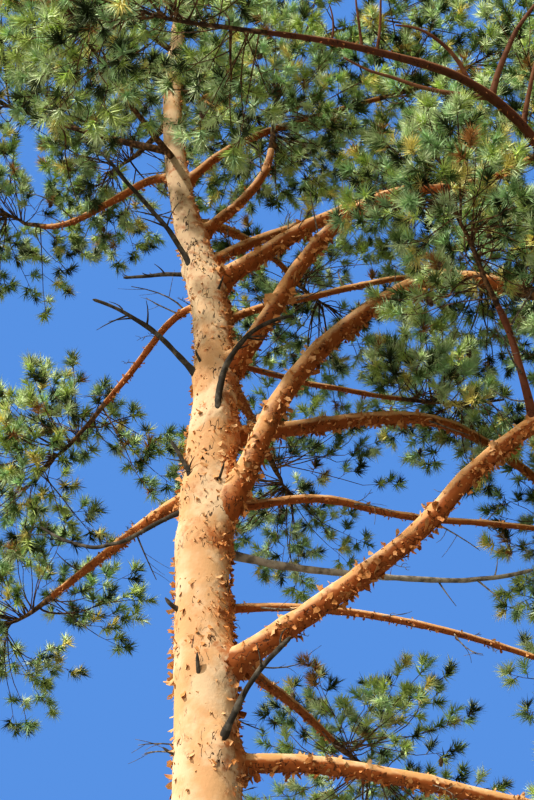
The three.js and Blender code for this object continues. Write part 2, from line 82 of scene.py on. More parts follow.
# Limbs, as their solids have them. Headings are degrees round from +X towards +Y, at the root and
# the tip. Rises are degrees above level, evenly spaced from root to tip.
BOUGHS: tuple[dict[str, Any], ...] = (
    dict(name="low_right", height=4592, heading=(6, 16), rise=(15, -4, -7, 0), length=1630,
         thick=(80, 46), reach=800),
    dict(name="great_right", height=4992, heading=(-24, -24), rise=(22, 26, 31, 44, 26, 42), length=2150,
         thick=(100, 62)),
    dict(name="great_right_crook", parent="great_right", heading=(256, 187), rise=(85, 38, -12, -2),
         length=2380, thick=(62, 22), reach=780),
    dict(name="great_right_fork", beside="great_right", share=0.8, heading=(-112, -128),
         rise=(52, 60, 40), length=520, thick=(38, 26), reach=640),
    dict(name="arching_right", height=5649, heading=(-30, 10), rise=(54, 70, 50, 36, -15), length=2190,
         thick=(106, 66), reach=820),
    dict(name="steep_right", height=6564, heading=(-30, -8), rise=(37, 63, 42, -9, 38), length=2035,
         thick=(95, 34), reach=860),
    dict(name="twin_right", height=7155, heading=(-6, -6), rise=(37, 40, 24, 18), length=1280,
         thick=(96, 44), reach=760),
    dict(name="slim_over_twin", height=7290, heading=(18, 34), rise=(48, 42, 41, 34), length=1420,
         thick=(60, 34), reach=700),
    dict(name="forked_right", height=7465, heading=(-12, -12), rise=(50, 42, 61, 85), length=740,
         thick=(60, 36), reach=700),
    dict(name="high_right", height=7836, heading=(-4, 4), rise=(61, 28, 27), length=1330,
         thick=(48, 26), reach=840),
    dict(name="middle_right", height=6224, heading=(8, 40), rise=(18, 22, 22, -8, -14), length=1980,
         thick=(78, 42), reach=760),
    dict(name="slender_right", height=5833, heading=(18, 18), rise=(18, 24, -4, 9, 8, 4), length=1900,
         thick=(44, 24), reach=700),
    dict(name="drooping_right", height=5312, heading=(16, 16), rise=(18, 1, -11), length=1550,
         thick=(39, 26), reach=660),
    dict(name="thin_right", height=6901, heading=(8, 38), rise=(40, 28, 37, 27), length=1580,
         thick=(40, 26), reach=720),
    dict(name="inner_right", height=6710, heading=(26, 14), rise=(2, 3, 4), length=980,
         thick=(32, 22), reach=660),
    dict(name="hanging_left", height=7025, heading=(132, 132), rise=(48, -31, -24), length=860,
         thick=(40, 28), reach=700),
    dict(name="upper_left", height=7892, heading=(138, 132), rise=(55, 3, 15, 40), length=1245,
         thick=(48, 28), reach=800),
    dict(name="low_back", height=5150, heading=(74, 62), rise=(24, 14, 2), length=1800,
         thick=(66, 34), reach=820),
    dict(name="back_left", height=5950, heading=(112, 122), rise=(26, 12, 4), length=1850,
         thick=(70, 34), reach=820),
    dict(name="middle_back", height=6700, heading=(82, 76), rise=(34, 22, 10), length=1850,
         thick=(74, 34), reach=840),
    dict(name="tall_back", height=7600, heading=(60, 66), rise=(42, 30, 18), length=1500,
         thick=(58, 30), reach=860),
)

# Dead limbs, in the same terms.
DEAD_LIMBS: tuple[dict[str, Any], ...] = (
    dict(name="high_left", height=7048, heading=(212, 212), rise=(68, 40, 38), length=950, thick=(34, 16)),
    dict(name="short_left", height=7248, heading=(170, 170), rise=(10, 3, 0), length=400, thick=(25, 16)),
    dict(name="middle_left", height=6459, heading=(205, 205), rise=(50, 35, -3), length=760, thick=(33, 16)),
    dict(name="stub_left", height=5838, heading=(236, 180), rise=(12, 70, 58, 66), length=370,
         thick=(27, 14)),
    dict(name="low_left", height=5868, heading=(146, 146), rise=(6, -15, 29, 45), length=1030,
         thick=(24, 12)),
    dict(name="curved_front", height=6232, heading=(-88, 8), rise=(8, 84, 56, 34, 14), length=790,
         thick=(37, 16)),
    dict(name="low_front", height=4580, heading=(-73, -10), rise=(8, 60, 46, 43), length=650, thick=(36, 18)),
    dict(name="pale_right", height=5638, heading=(18, 18), rise=(-7, 7, 9, 27), length=1650, thick=(38, 18)),
)

# Slim side limbs of the brown limb, in the same terms. Share is how far along it they leave it.
BROWN_LIMB = "great_right_crook"
SIDE_LIMBS: tuple[dict[str, Any], ...] = (
    dict(name="up_right", share=0.556, heading=(-74, -36), rise=(50, 36), length=469, thick=(30, 13)),
    dict(name="right", share=0.472, heading=(-78, -72), rise=(50, 49), length=292, thick=(26, 14)),
    dict(name="lower_left", share=0.556, heading=(-182, -163), rise=(3, 22), length=656, thick=(25, 8)),
    dict(name="upper_left", share=0.611, heading=(-122, -182), rise=(46, 4), length=411, thick=(21, 8)),
    dict(name="first_riser", share=0.806, heading=(-78, -92), rise=(50, 51), length=230, thick=(14, 7)),
    dict(name="second_riser", share=0.833, heading=(-102, -103), rise=(51, 51), length=211, thick=(13, 7)),
    dict(name="third_riser", share=0.889, heading=(-66, -122), rise=(48, 47), length=144, thick=(11, 5)),
)

# Shoots that leave the trunk itself, each with its own mass. Out is from the trunk to the mass's
# middle, and reach is from there to its edge.
TRUNK_SHOOTS: tuple[dict[str, Any], ...] = (
    dict(name="high_front", height=8050, heading=244, rise=-12, thick=38, out=950, reach=760),
    dict(name="rising_left", height=8120, heading=183, rise=12, thick=44, out=1000, reach=860),
    dict(name="high_back", height=8400, heading=112, rise=24, thick=42, out=1150, reach=820),
    dict(name="upper_back", height=8720, heading=62, rise=30, thick=38, out=1120, reach=800),
    dict(name="top_right", height=8850, heading=8, rise=24, thick=40, out=1240, reach=880),
    dict(name="top_left", height=8980, heading=204, rise=24, thick=36, out=980, reach=800),
    dict(name="upper_front", height=9400, heading=292, rise=26, thick=32, out=860, reach=760),
    dict(name="crest_left", height=9850, heading=136, rise=34, thick=28, out=760, reach=720),
    dict(name="crest_right", height=10120, heading=352, rise=38, thick=26, out=680, reach=700),
)
LEADER: dict[str, Any] = dict(name="leader", heading=0, rise=90, thick=20, out=130, reach=668)


class Slot(Enum):
    """The record's material slots."""

    TRUNK = "trunk_bark"
    BOUGH = "bough_bark"
    DEAD = "dead_wood"
    NEEDLES = "needles"


def unit(vectors: Array) -> Array:
    """Gives the vectors the length 1.

    Args:
        vectors: Any array whose last axis is x, y, z.

    Returns:
        Each vector divided by its length.
    """
    return vectors / np.maximum(np.linalg.norm(vectors, axis=-1, keepdims=True), 1e-12)


def smooth(low: float, high: float, values: Array) -> Array:
    """Rises from 0 at low to 1 at high by the cubic 3t^2 - 2t^3.

    Args:
        low: Where the rise starts.
        high: Where it ends.
        values: The values to place on it.

    Returns:
        The height of the rise at each value.
    """
    t = np.clip((values - low) / (high - low), 0, 1)
    return t * t * (3 - 2 * t)


def heading_to(heading: Array | float, rise: Array | float) -> Array:
    """Turns a heading and a rise, in degrees, into a direction of length 1."""
    turn, climb = np.radians(heading), np.radians(rise)
    return np.stack([np.cos(turn) * np.cos(climb), np.sin(turn) * np.cos(climb),
                     np.sin(climb) * np.ones_like(turn)], axis=-1)


def along(values: Sequence[float], share: Array | float) -> Array:
    """Reads a list of evenly spaced values at a share of the way along it."""
    return np.interp(share, np.linspace(0, 1, len(values)), values)


def along_line(line: Array, share: Array) -> Array:
    """Reads a line of evenly spaced points at shares of the way along it."""
    return np.stack([along(line[:, axis], share) for axis in range(3)], axis=-1)


def scatter(cells: Array, seed: int) -> Array:
    """Deals a number from 0 to 1 to each whole-number place by mixing its three counts bit by bit.

    Args:
        cells: Whole numbers, with x, y, z on the last axis.
        seed: Another seed deals other numbers.

    Returns:
        One number for each place.
    """
    counts = cells.astype(np.int64).astype(np.uint32)
    mixed = (counts[..., 0] * np.uint32(0x9E3779B1) ^ counts[..., 1] * np.uint32(0x85EBCA77)
             ^ counts[..., 2] * np.uint32(0xC2B2AE3D) ^ np.uint32(seed * 0x27D4EB2F & WORD))
    for shift, factor in ((15, 0x2C1B3C6D), (12, 0x297A2D39), (15, 0x68E31DA4)):
        mixed = (mixed ^ mixed >> np.uint32(shift)) * np.uint32(factor)
    return (mixed ^ mixed >> np.uint32(16)) / float(WORD)


def lumps(points: Array, size: float, seed: int) -> Array:
    """Gives soft lumps: the numbers at the eight corners round a point, blended by 3t^2 - 2t^3.

    Args:
        points: Places, with x, y, z on the last axis.
        size: The distance from lump to lump.
        seed: Another seed gives other lumps.

    Returns:
        A height from -1 to 1 at each place.
    """
    low = np.floor(points / size)
    t = points / size - low
    t = t * t * (3 - 2 * t)
    total = np.zeros(points.shape[:-1])
    for corner in np.ndindex(2, 2, 2):
        weight = np.prod(np.where(corner, t, 1 - t), axis=-1)
        total += weight * scatter(low + corner, seed)
    return 2 * total - 1


def wander(points: Array, size: float, seed: int) -> Array:
    """Gives each place a soft shift from -1 to 1 along x, y and z, by lumps of three seeds in a row."""
    return np.stack([lumps(points, size, seed + axis) for axis in range(3)], axis=-1)


def scales(points: Array, size: Sequence[float], seed: int) -> tuple[Array, Array]:
    """Splits space into scales, each the room nearest to one of its scattered middles.

    Args:
        points: Places, with x, y, z on the last axis.
        size: The size of a scale in x, y and z.
        seed: Another seed gives other scales.

    Returns:
        How far in from its scale's edge each place is, about 0 to 1, and a number from 0 to 1 that
        is the same all over one scale.
    """
    spots = points / np.asarray(size)
    low = np.floor(spots)
    first = np.full(points.shape[:-1], 9.0)
    second = first.copy()
    owner = first.copy()
    for step in np.ndindex(3, 3, 3):
        cell = low + step - 1
        middle = cell + np.stack([scatter(cell, seed + axis) for axis in range(3)], axis=-1)
        away = np.linalg.norm(spots - middle, axis=-1)
        closer = away < first
        second = np.where(closer, first, np.minimum(second, away))
        owner = np.where(closer, scatter(cell, seed + 3), owner)
        first = np.where(closer, away, first)
    return second - first, owner


@dataclass
class Skin:
    """A mesh in millimetres: its points, its triangles, and a value for each point under a name."""

    points: Array
    faces: Array
    values: dict[str, Array] = field(default_factory=dict)

    @staticmethod
    def joined(skins: Sequence["Skin"]) -> "Skin":
        """Puts several skins into one, with each one's faces counted on from the last."""
        starts = np.cumsum([0] + [len(skin.points) for skin in skins[:-1]])
        names = skins[0].values
        return Skin(
            np.concatenate([skin.points for skin in skins]),
            np.concatenate([skin.faces + start for skin, start in zip(skins, starts)]),
            {name: np.concatenate([skin.values[name] for skin in skins]) for name in names},
        )

    def make(self, name: str, finish: "Finish", slot: Slot, nodes: Sequence[str],
             rounded: bool = True) -> None:
        """Puts the skin into Blender as one piece on the root body.

        Args:
            name: The piece's name.
            finish: What it is made of.
            slot: The record's slot for that. Not used.
            nodes: The nodes that the piece stands for.
            rounded: Whether its faces are shaded as one round surface.
        """
        mesh = bpy.data.meshes.new(name)
        mesh.vertices.add(len(self.points))
        mesh.vertices.foreach_set("co", (self.points * MM).astype(np.float32).ravel())
        mesh.loops.add(self.faces.size)
        mesh.loops.foreach_set("vertex_index", self.faces.astype(np.int32).ravel())
        mesh.polygons.add(len(self.faces))
        mesh.polygons.foreach_set("loop_start", np.arange(0, self.faces.size, 3, dtype=np.int32))
        mesh.polygons.foreach_set("use_smooth", np.full(len(self.faces), rounded))
        for label, numbers in self.values.items():
            layer = mesh.attributes.new(label, "FLOAT", "POINT")
            layer.data.foreach_set("value", numbers.astype(np.float32))
        mesh.update(calc_edges=True)
        mesh.materials.append(finish.material())
        piece = bpy.data.objects.new(name, mesh)
        bpy.context.scene.collection.objects.link(piece)
        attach(piece, "root")
        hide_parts(*nodes)
        log.info("%s: %d triangles", name, len(self.faces))


def rods(points: Array, radii: Array, sides: int) -> Skin:
    """Makes many round rods at once, each closed at both ends.

    A ring point is the rod's centre plus the radius times cos(turn) across and sin(turn) over,
    where across and over are square to the rod's direction there.

    Args:
        points: Each rod's centre line, as (rods, rings, 3).
        radii: Each ring's radius, as (rods, rings).
        sides: How many sides a rod has.

    Returns:
        One skin with all the rods.
    """
    count, rings = radii.shape
    forward = unit(np.gradient(points, axis=1))
    upright = np.abs(forward.mean(axis=1)[:, None, 2:]) > 0.9
    across = unit(np.cross(forward, np.where(upright, RIGHT, UP)))
    over = np.cross(forward, across)
    turn = np.arange(sides) * 2 * math.pi / sides
    ring = (across[:, :, None] * np.cos(turn)[:, None] + over[:, :, None] * np.sin(turn)[:, None])
    spots = points[:, :, None] + ring * radii[:, :, None, None]
    return Skin(spots.reshape(-1, 3), rod_faces(count, rings, sides))


def rod_faces(count: int, rings: int, sides: int) -> Array:
    """Numbers the triangles of rods whose points run round each ring, ring after ring.

    Args:
        count: How many rods there are.
        rings: How many rings each has.
        sides: How many points each ring has.

    Returns:
        The triangles of the sides and of both ends, facing outwards.
    """
    ring, side = np.meshgrid(np.arange(rings - 1), np.arange(sides), indexing="ij")
    a, b = ring * sides + side, ring * sides + (side + 1) % sides
    wall = np.stack([a, b, b + sides, a, b + sides, a + sides], axis=-1).reshape(-1, 3)
    fan = np.arange(1, sides - 1)
    start = np.stack([np.zeros_like(fan), fan + 1, fan], axis=-1)
    end = np.stack([np.zeros_like(fan), fan, fan + 1], axis=-1) + (rings - 1) * sides
    one = np.concatenate([wall, start, end])
    return (one + np.arange(count)[:, None, None] * rings * sides).reshape(-1, 3)


def bent(start: Array, end: Array, lift: Array, rings: int) -> Array:
    """Curves from start to end with its middle moved by lift: a parabola through those three.

    Args:
        start: The first points, as (curves, 3).
        end: The last points.
        lift: How far the middle of each curve is moved.
        rings: How many points each curve gets.

    Returns:
        The curves' points, as (curves, rings, 3).
    """
    t = np.linspace(0, 1, rings)[None, :, None]
    return start[:, None] * (1 - t) + end[:, None] * t + lift[:, None] * 4 * t * (1 - t)


class SeededRun:
    """The source's repeatable run of numbers from 0 to 1."""

    def __init__(self, seed: int) -> None:
        """Starts the run at a seed."""
        self.state = seed & WORD

    def __call__(self) -> float:
        """Gives the next number."""
        self.state = (self.state + 0x6D2B79F5) & WORD
        mixed = ((self.state ^ self.state >> 15) * (self.state | 1)) & WORD
        mixed ^= (mixed + (mixed ^ mixed >> 7) * (mixed | 61)) & WORD
        return (mixed ^ mixed >> 14) / (WORD + 1)


@dataclass(frozen=True)
class Flare:
    """How the trunk's foot swells into its roots, with soft lobes round it."""

    swell: float = 0.34
    fade: float = 240.0
    lobes: int = 5
    depth: float = 0.16
    turn: float = 0.7

    def at(self, height: Array, angle: Array) -> Array:
        """Gives the share by which the radius grows: 1 plus a swelling that fades with height."""
        lobes = 1 + self.depth * np.cos(self.lobes * angle + self.turn) * 2
        return 1 + self.swell * np.exp(-height / self.fade) * lobes


def trunk_at(height: Array) -> tuple[Array, Array]:
    """Finds the trunk's axis and radius by a cubic through its stations.

    Args:
        height: Heights above the ground.

    Returns:
        The axis points, as (heights, 3), and the radii.
    """
    table = TRUNK_STATIONS
    last = len(table) - 1
    low = np.clip(np.searchsorted(table[:, 0], height, side="right") - 1, 0, last - 1)
    before, after = np.maximum(np.arange(last + 1) - 1, 0), np.minimum(np.arange(last + 1) + 1, last)
    slope = (table[after] - table[before]) / (table[after, :1] - table[before, :1])
    span = (table[low + 1, 0] - table[low, 0])[:, None]
    t = (height - table[low, 0])[:, None] / span
    cubic = (table[low] * (2 * t**3 - 3 * t**2 + 1) + slope[low] * span * (t**3 - 2 * t**2 + t)
             + table[low + 1] * (3 * t**2 - 2 * t**3) + slope[low + 1] * span * (t**3 - t**2))
    return np.column_stack([cubic[:, 1:3], height]), cubic[:, 3] / 2


def trunk_gap(points: Array) -> Array:
    """Measures how far places are outside the plain trunk, level with them."""
    axis, thick = trunk_at(np.clip(points[..., 2].ravel(), 0, TRUNK_TOP))
    away = np.linalg.norm((points.reshape(-1, 3) - axis)[:, :2], axis=1) - thick
    return away.reshape(points.shape[:-1])


def weld(gap: Array, reach: Array | float) -> Array:
    """Lifts a skin near another, so that the two flow together: (reach - |gap|)^2 / (4 reach)."""
    return np.maximum(reach - np.abs(gap), 0) ** 2 / (4 * reach)


def root_spread(line: Array, radius: Array) -> Array:
    """Says how much a limb's root spreads: 1 at the trunk's skin, fading as exp(-|gap| / radius).

    Args:
        line: The limb's centre line.
        radius: Its radius along the line.

    Returns:
        The spread at each point of the line, as a column.
    """
    return np.exp(-np.abs(trunk_gap(line)) / radius)[:, None]


@dataclass
class Limb:
    """A limb as its solid has it: a centre line of short steps, and its radius at each step."""

    STEPS: ClassVar[int] = 36
    SEAT_GAP: ClassVar[float] = 0.35
    COLLAR_SWELL: ClassVar[float] = 0.32
    COLLAR_FADE: ClassVar[float] = 0.9

    name: str
    points: Array
    directions: Array
    radii: Array
    sideways: Array
    length: float
    reach: float
    grows_on: bool
    thick: tuple[float, float]

    @classmethod
    def lay_out(cls, plan: dict[str, Any], placed: dict[str, "Limb"]) -> "Limb":
        """Lays a limb out from its plan.

        Args:
            plan: The limb's named sizes.
            placed: The limbs that it may go on from or stand beside.

        Returns:
            The limb.
        """
        parent = placed.get(plan.get("parent") or plan.get("beside") or "")
        if "parent" in plan:
            start = parent.clear_of_tip()
        elif "beside" in plan:
            start = parent.points[round(plan["share"] * cls.STEPS)]
        else:
            start = trunk_at(np.array([float(plan["height"])]))[0][0]
        middles = (np.arange(cls.STEPS) + 0.5) / cls.STEPS
        ends = np.arange(cls.STEPS + 1) / cls.STEPS
        strides = heading_to(along(plan["heading"], middles), along(plan["rise"], middles))
        points = start + np.vstack([np.zeros(3), np.cumsum(strides, axis=0)]) * plan["length"] / cls.STEPS
        directions = heading_to(along(plan["heading"], ends), along(plan["rise"], ends))
        grows_on = "parent" in plan
        if grows_on:
            directions[0] = parent.directions[-1]
        fade = np.exp(-ends * plan["length"] / (plan["thick"][0] * cls.COLLAR_FADE))
        collar = 1 + (0 if grows_on else cls.COLLAR_SWELL) * fade
        sideways = parent.sideways if grows_on else heading_to(sum(plan["heading"]) / 2 - 90, 0)
        return cls(plan["name"], points, directions, along(plan["thick"], ends) / 2 * collar, sideways,
                   plan["length"], plan.get("reach", 0), grows_on, plan["thick"])

    def clear_of_tip(self) -> Array:
        """Gives the spot just clear of the tip, where what the limb bears goes on."""
        return self.points[-1] + self.directions[-1] * self.SEAT_GAP


@dataclass
class Spray:
    """One spray of the source's rule: bare wood from root to neck, and needled twigs beyond."""

    root: Array
    neck: Array
    forward: Array
    onward: Array
    across: Array
    wood: float
    length: float
    stout: float


@dataclass(frozen=True)
class Growth:
    """How far the seeded rule is carried: the source's own round, or a finer one."""

    sprays: int = 8
    twigs: int = 6
    tries: int = 140
    spacing: float = 0.32
    size: float = 1.0
    seed_step: int = 0
    stout: float = 18.0
    first: float = 0.45
    tilt_spread: float = 24.0


class Room:
    """What the growing twigs have to keep clear of: the trunk, all limbs and all stems."""

    def __init__(self, lines: Sequence[tuple[str, Array, Array]]) -> None:
        """Cuts each named centre line into straight steps with a radius each."""
        self.owner = np.concatenate([[name] * (len(radii) - 1) for name, _, radii in lines])
        self.start = np.concatenate([points[:-1] for _, points, _ in lines])
        self.step = np.concatenate([np.diff(points, axis=0) for _, points, _ in lines])
        self.radius = np.concatenate([np.maximum(radii[:-1], radii[1:]) for _, _, radii in lines])

    def near(self, centre: Array, reach: float, leave_out: str) -> "Room":
        """Keeps only the steps near a place, without those of the named stem."""
        away = np.linalg.norm(self.start + self.step / 2 - centre, axis=1)
        keep = (away < reach + np.linalg.norm(self.step, axis=1)) & (self.owner != leave_out)
        room = Room.__new__(Room)
        room.owner, room.start = self.owner[keep], self.start[keep]
        room.step, room.radius = self.step[keep], self.radius[keep]
        return room

    def clear(self, points: Array) -> Array:
        """Measures how far each point is from the skin of the nearest step."""
        if not len(self.start):
            return np.full(len(points), np.inf)
        offset = points[:, None] - self.start
        share = np.clip((offset * self.step).sum(-1) / (self.step**2).sum(-1), 0, 1)
        away = np.linalg.norm(offset - self.step * share[..., None], axis=-1) - self.radius
        return away.min(axis=1)


@dataclass
class Mass:
    """One mass of foliage, grown in its own space by the source's seeded rule."""

    FLATNESS: ClassVar[float] = 0.78
    LEAD: ClassVar[float] = 0.55
    LIMB_CLEARANCE: ClassVar[float] = 4.0
    SPACE_MARGIN: ClassVar[float] = 3.0
    FIT_CHECKS: ClassVar[int] = 6
    STEM_STEPS: ClassVar[int] = 4
    STEM_LIFT: ClassVar[float] = 0.1
    STEM_PAST_MIDDLE: ClassVar[float] = 0.32
    LEAST_BARE_STEM: ClassVar[float] = 14.0
    LAST_TWIG: ClassVar[float] = 0.95
    TWIG_LENGTH: ClassVar[float] = 0.56
    TWIG_SHORTENING: ClassVar[float] = 0.72
    TWIG_LENGTH_RANGE: ClassVar[tuple[float, float]] = (0.8, 1.2)
    TWIG_LIFT: ClassVar[float] = 0.3
    TWIG_TILT: ClassVar[tuple[float, float]] = (118, 34)
    TWIG_THICKNESS: ClassVar[float] = 18.0
    GOLDEN_SHARE: ClassVar[float] = 0.618
    SPRAY_LENGTH: ClassVar[float] = 0.54
    SPRAY_HALF_WIDTH: ClassVar[float] = 0.34
    SPRAY_THICKNESS: ClassVar[float] = 0.03
    SPRAY_SINK: ClassVar[float] = 14.0
    SPRAY_SPLAY: ClassVar[float] = math.radians(52)
    SIDE_SPRAY_SIZE: ClassVar[float] = 0.8
    SIDE_SPRAY_PLACES: ClassVar[tuple[float, float]] = (0.72, 0.42)
    SPRAY_EDGE: ClassVar[tuple[tuple[float, float], ...]] = ((0.44, 1), (0.52, 0.36), (0.78, 0.74), (1, 0))

    name: str
    root: Array
    forward: Array
    thick: float
    out: float
    reach: float
    seed: int
    walls: Array = field(default_factory=lambda: np.zeros((0, 3)))
    wall_at: Array = field(default_factory=lambda: np.zeros(0))
    sprays: list[Spray] = field(default_factory=list)

    @classmethod
    def stretch(cls, points: Array) -> Array:
        """Stretches places upwards, so that the flattened space becomes a ball."""
        return points / np.array([1, 1, cls.FLATNESS])

    @property
    def middle(self) -> Array:
        """The middle of the space."""
        return self.root + self.forward * self.out

    def set_walls(self, masses: Sequence["Mass"]) -> None:
        """Puts a flat wall towards each neighbour, where the two balls' powers are equal."""
        others = [other for other in masses if other is not self]
        normals = np.array([self.stretch(other.middle) - self.stretch(self.middle) for other in others])
        apart = np.linalg.norm(normals, axis=1)
        reaches = np.array([other.reach for other in others])
        self.walls = normals / apart[:, None]
        self.wall_at = (apart**2 + self.reach**2 - reaches**2) / (2 * apart)

    def holds(self, points: Array, room: float) -> Array:
        """Says which places are in the space, with some room to spare."""
        offset = self.stretch(points) - self.stretch(self.middle)
        pad = room / self.FLATNESS
        inside = np.linalg.norm(offset, axis=1) + pad <= self.reach
        return inside & (offset @ self.walls.T + pad <= self.wall_at).all(axis=1)

    @property
    def stem(self) -> tuple[Array, Array, Array, float]:
        """The stem's points, directions and radii, and its length. It lifts towards the light."""
        length = self.out + self.reach * self.STEM_PAST_MIDDLE
        points, directions = [self.root], [self.forward]
        for _ in range(self.STEM_STEPS):
            points.append(points[-1] + directions[-1] * length / self.STEM_STEPS)
            directions.append(unit(directions[-1] + UP * self.STEM_LIFT))
        radii = np.linspace(self.thick, self.TWIG_THICKNESS, self.STEM_STEPS + 1) / 2
        return np.array(points), np.array(directions), radii, length

    @staticmethod
    def tilted(forward: Array, tilt: float, turn: float) -> Array:
        """Tilts a direction by an angle, towards a side given by a turn about it."""
        side = unit(np.cross(forward, RIGHT if abs(forward[2]) > 0.95 else UP))
        over = np.cross(forward, side)
        return (forward * math.cos(tilt) + side * math.sin(tilt) * math.cos(turn)
                + over * math.sin(tilt) * math.sin(turn))

    def place(self, room: Room, growth: Growth, root: Array, forward: Array, wood: float, length: float,
              roll: float) -> bool:
        """Sets one spray out where it fits, by the source's tests.

        Args:
            room: The limbs to keep clear of.
            growth: The round of growth.
            root: Where its wood starts.
            forward: Where its wood points.
            wood: The length of its bare wood.
            length: The length of its needled part.
            roll: The turn of its flat side, as a share of half a turn.

        Returns:
            Whether it was placed.
        """
        onward = unit(forward + UP * self.TWIG_LIFT)
        across = self.tilted(onward, math.pi / 2, math.pi * roll)
        neck = root + forward * wood
        spray = Spray(root, neck, forward, onward, across, wood, length, growth.stout)
        tip = neck + onward * length
        middle = (neck + tip) / 2
        thickness = length * self.SPRAY_THICKNESS
        crowd = [other.neck + other.onward * other.length / 2 for other in self.sprays]
        if crowd and np.linalg.norm(np.array(crowd) - middle, axis=1).min() <= self.reach * growth.spacing:
            return False
        share = np.linspace(0, 1, self.FIT_CHECKS + 1)[:, None]
        half = length * self.SPRAY_HALF_WIDTH
        edge = np.array([neck + onward * far * length + across * side * wide * half
                         for far, wide in self.SPRAY_EDGE for side in (1, -1)])
        blade = np.concatenate([edge, neck + (tip - neck) * share])
        if not self.holds(blade, self.SPACE_MARGIN + thickness).all():
            return False
        if room.clear(blade).min() <= self.LIMB_CLEARANCE + thickness:
            return False
        if wood:
            line = root + (neck - root) * share
            radius = growth.stout / 2
            if not self.holds(line, self.SPACE_MARGIN + radius).all():
                return False
            if room.clear(line).min() < self.LIMB_CLEARANCE + radius:
                return False
        self.sprays.append(spray)
        return True

    def grow(self, room: Room, growth: Growth) -> None:
        """Grows one round by the seeded rule: an end spray, then twigs set round the stem.

        Args:
            room: The limbs to keep clear of.
            growth: The round of growth.
        """
        random = SeededRun(self.seed + growth.seed_step)
        points, directions, _, length = self.stem
        spray = self.reach * self.SPRAY_LENGTH * growth.size
        if not growth.seed_step:
            end = directions[-1]
            self.place(room, growth, points[-1] - end * self.SPRAY_SINK, end, 0, spray, random())
        first = max(self.out - self.reach * growth.first, self.LEAST_BARE_STEM) / length
        twigs = 0
        for attempt in range(growth.tries):
            spread = attempt * self.GOLDEN_SHARE % 1
            share = first + (self.LAST_TWIG - first) * spread
            turn = attempt * GOLDEN_TURN + random()
            tilt = math.radians(along(self.TWIG_TILT, spread) + growth.tilt_spread * (random() - 0.5))
            shorter = 1 - self.TWIG_SHORTENING * attempt / growth.tries
            wood = self.reach * self.TWIG_LENGTH * shorter * along(self.TWIG_LENGTH_RANGE, random())
            rolls = [random(), random(), random()]
            if twigs == growth.twigs or len(self.sprays) == growth.sprays:
                continue
            low = min(int(share * self.STEM_STEPS), self.STEM_STEPS - 1)
            root = points[low] + (points[low + 1] - points[low]) * (share * self.STEM_STEPS - low)
            way = self.tilted(directions[low], tilt, turn)
            if not self.place(room, growth, root, way, wood, spray, rolls[0]):
                continue
            twigs += 1
            twig = self.sprays[-1]
            for index, place in enumerate(self.SIDE_SPRAY_PLACES):
                if len(self.sprays) == growth.sprays:
                    break
                sideways = self.tilted(twig.forward, self.SPRAY_SPLAY, rolls[1] - 0.5 + index * math.pi)
                self.place(room, growth, twig.root + (twig.neck - twig.root) * place, sideways, 0,
                           spray * self.SIDE_SPRAY_SIZE, rolls[index + 1])


class Wire:
    """A shader socket that takes part in Python sums."""

    def __init__(self, finish: "Finish", socket: Any) -> None:
        """Wraps a socket of one finish's nodes."""
        self.finish, self.socket = finish, socket

    def _sum(self, operation: str, first: Any, second: Any) -> "Wire":
        """Adds the Math node for one operation on two values."""
        return self.finish.node("Math", {"operation": operation}, {0: first, 1: second})

    def __add__(self, other: Any) -> "Wire":
        """Adds."""
        return self._sum("ADD", self, other)

    def __radd__(self, other: Any) -> "Wire":
        """Adds, with the number first."""
        return self._sum("ADD", other, self)

    def __sub__(self, other: Any) -> "Wire":
        """Subtracts."""
        return self._sum("SUBTRACT", self, other)

    def __rsub__(self, other: Any) -> "Wire":
        """Subtracts from a number."""
        return self._sum("SUBTRACT", other, self)

    def __mul__(self, other: Any) -> "Wire":
        """Multiplies."""
        return self._sum("MULTIPLY", self, other)

    def __rmul__(self, other: Any) -> "Wire":
        """Multiplies, with the number first."""
        return self._sum("MULTIPLY", other, self)

    def rise(self, low: float, high: float) -> "Wire":
        """Rises smoothly from 0 at low to 1 at high."""
        settings = {"interpolation_type": "SMOOTHSTEP"}
        return self.finish.node("MapRange", settings, {"Value": self, "From Min": low, "From Max": high})


Colour = tuple[float, float, float]


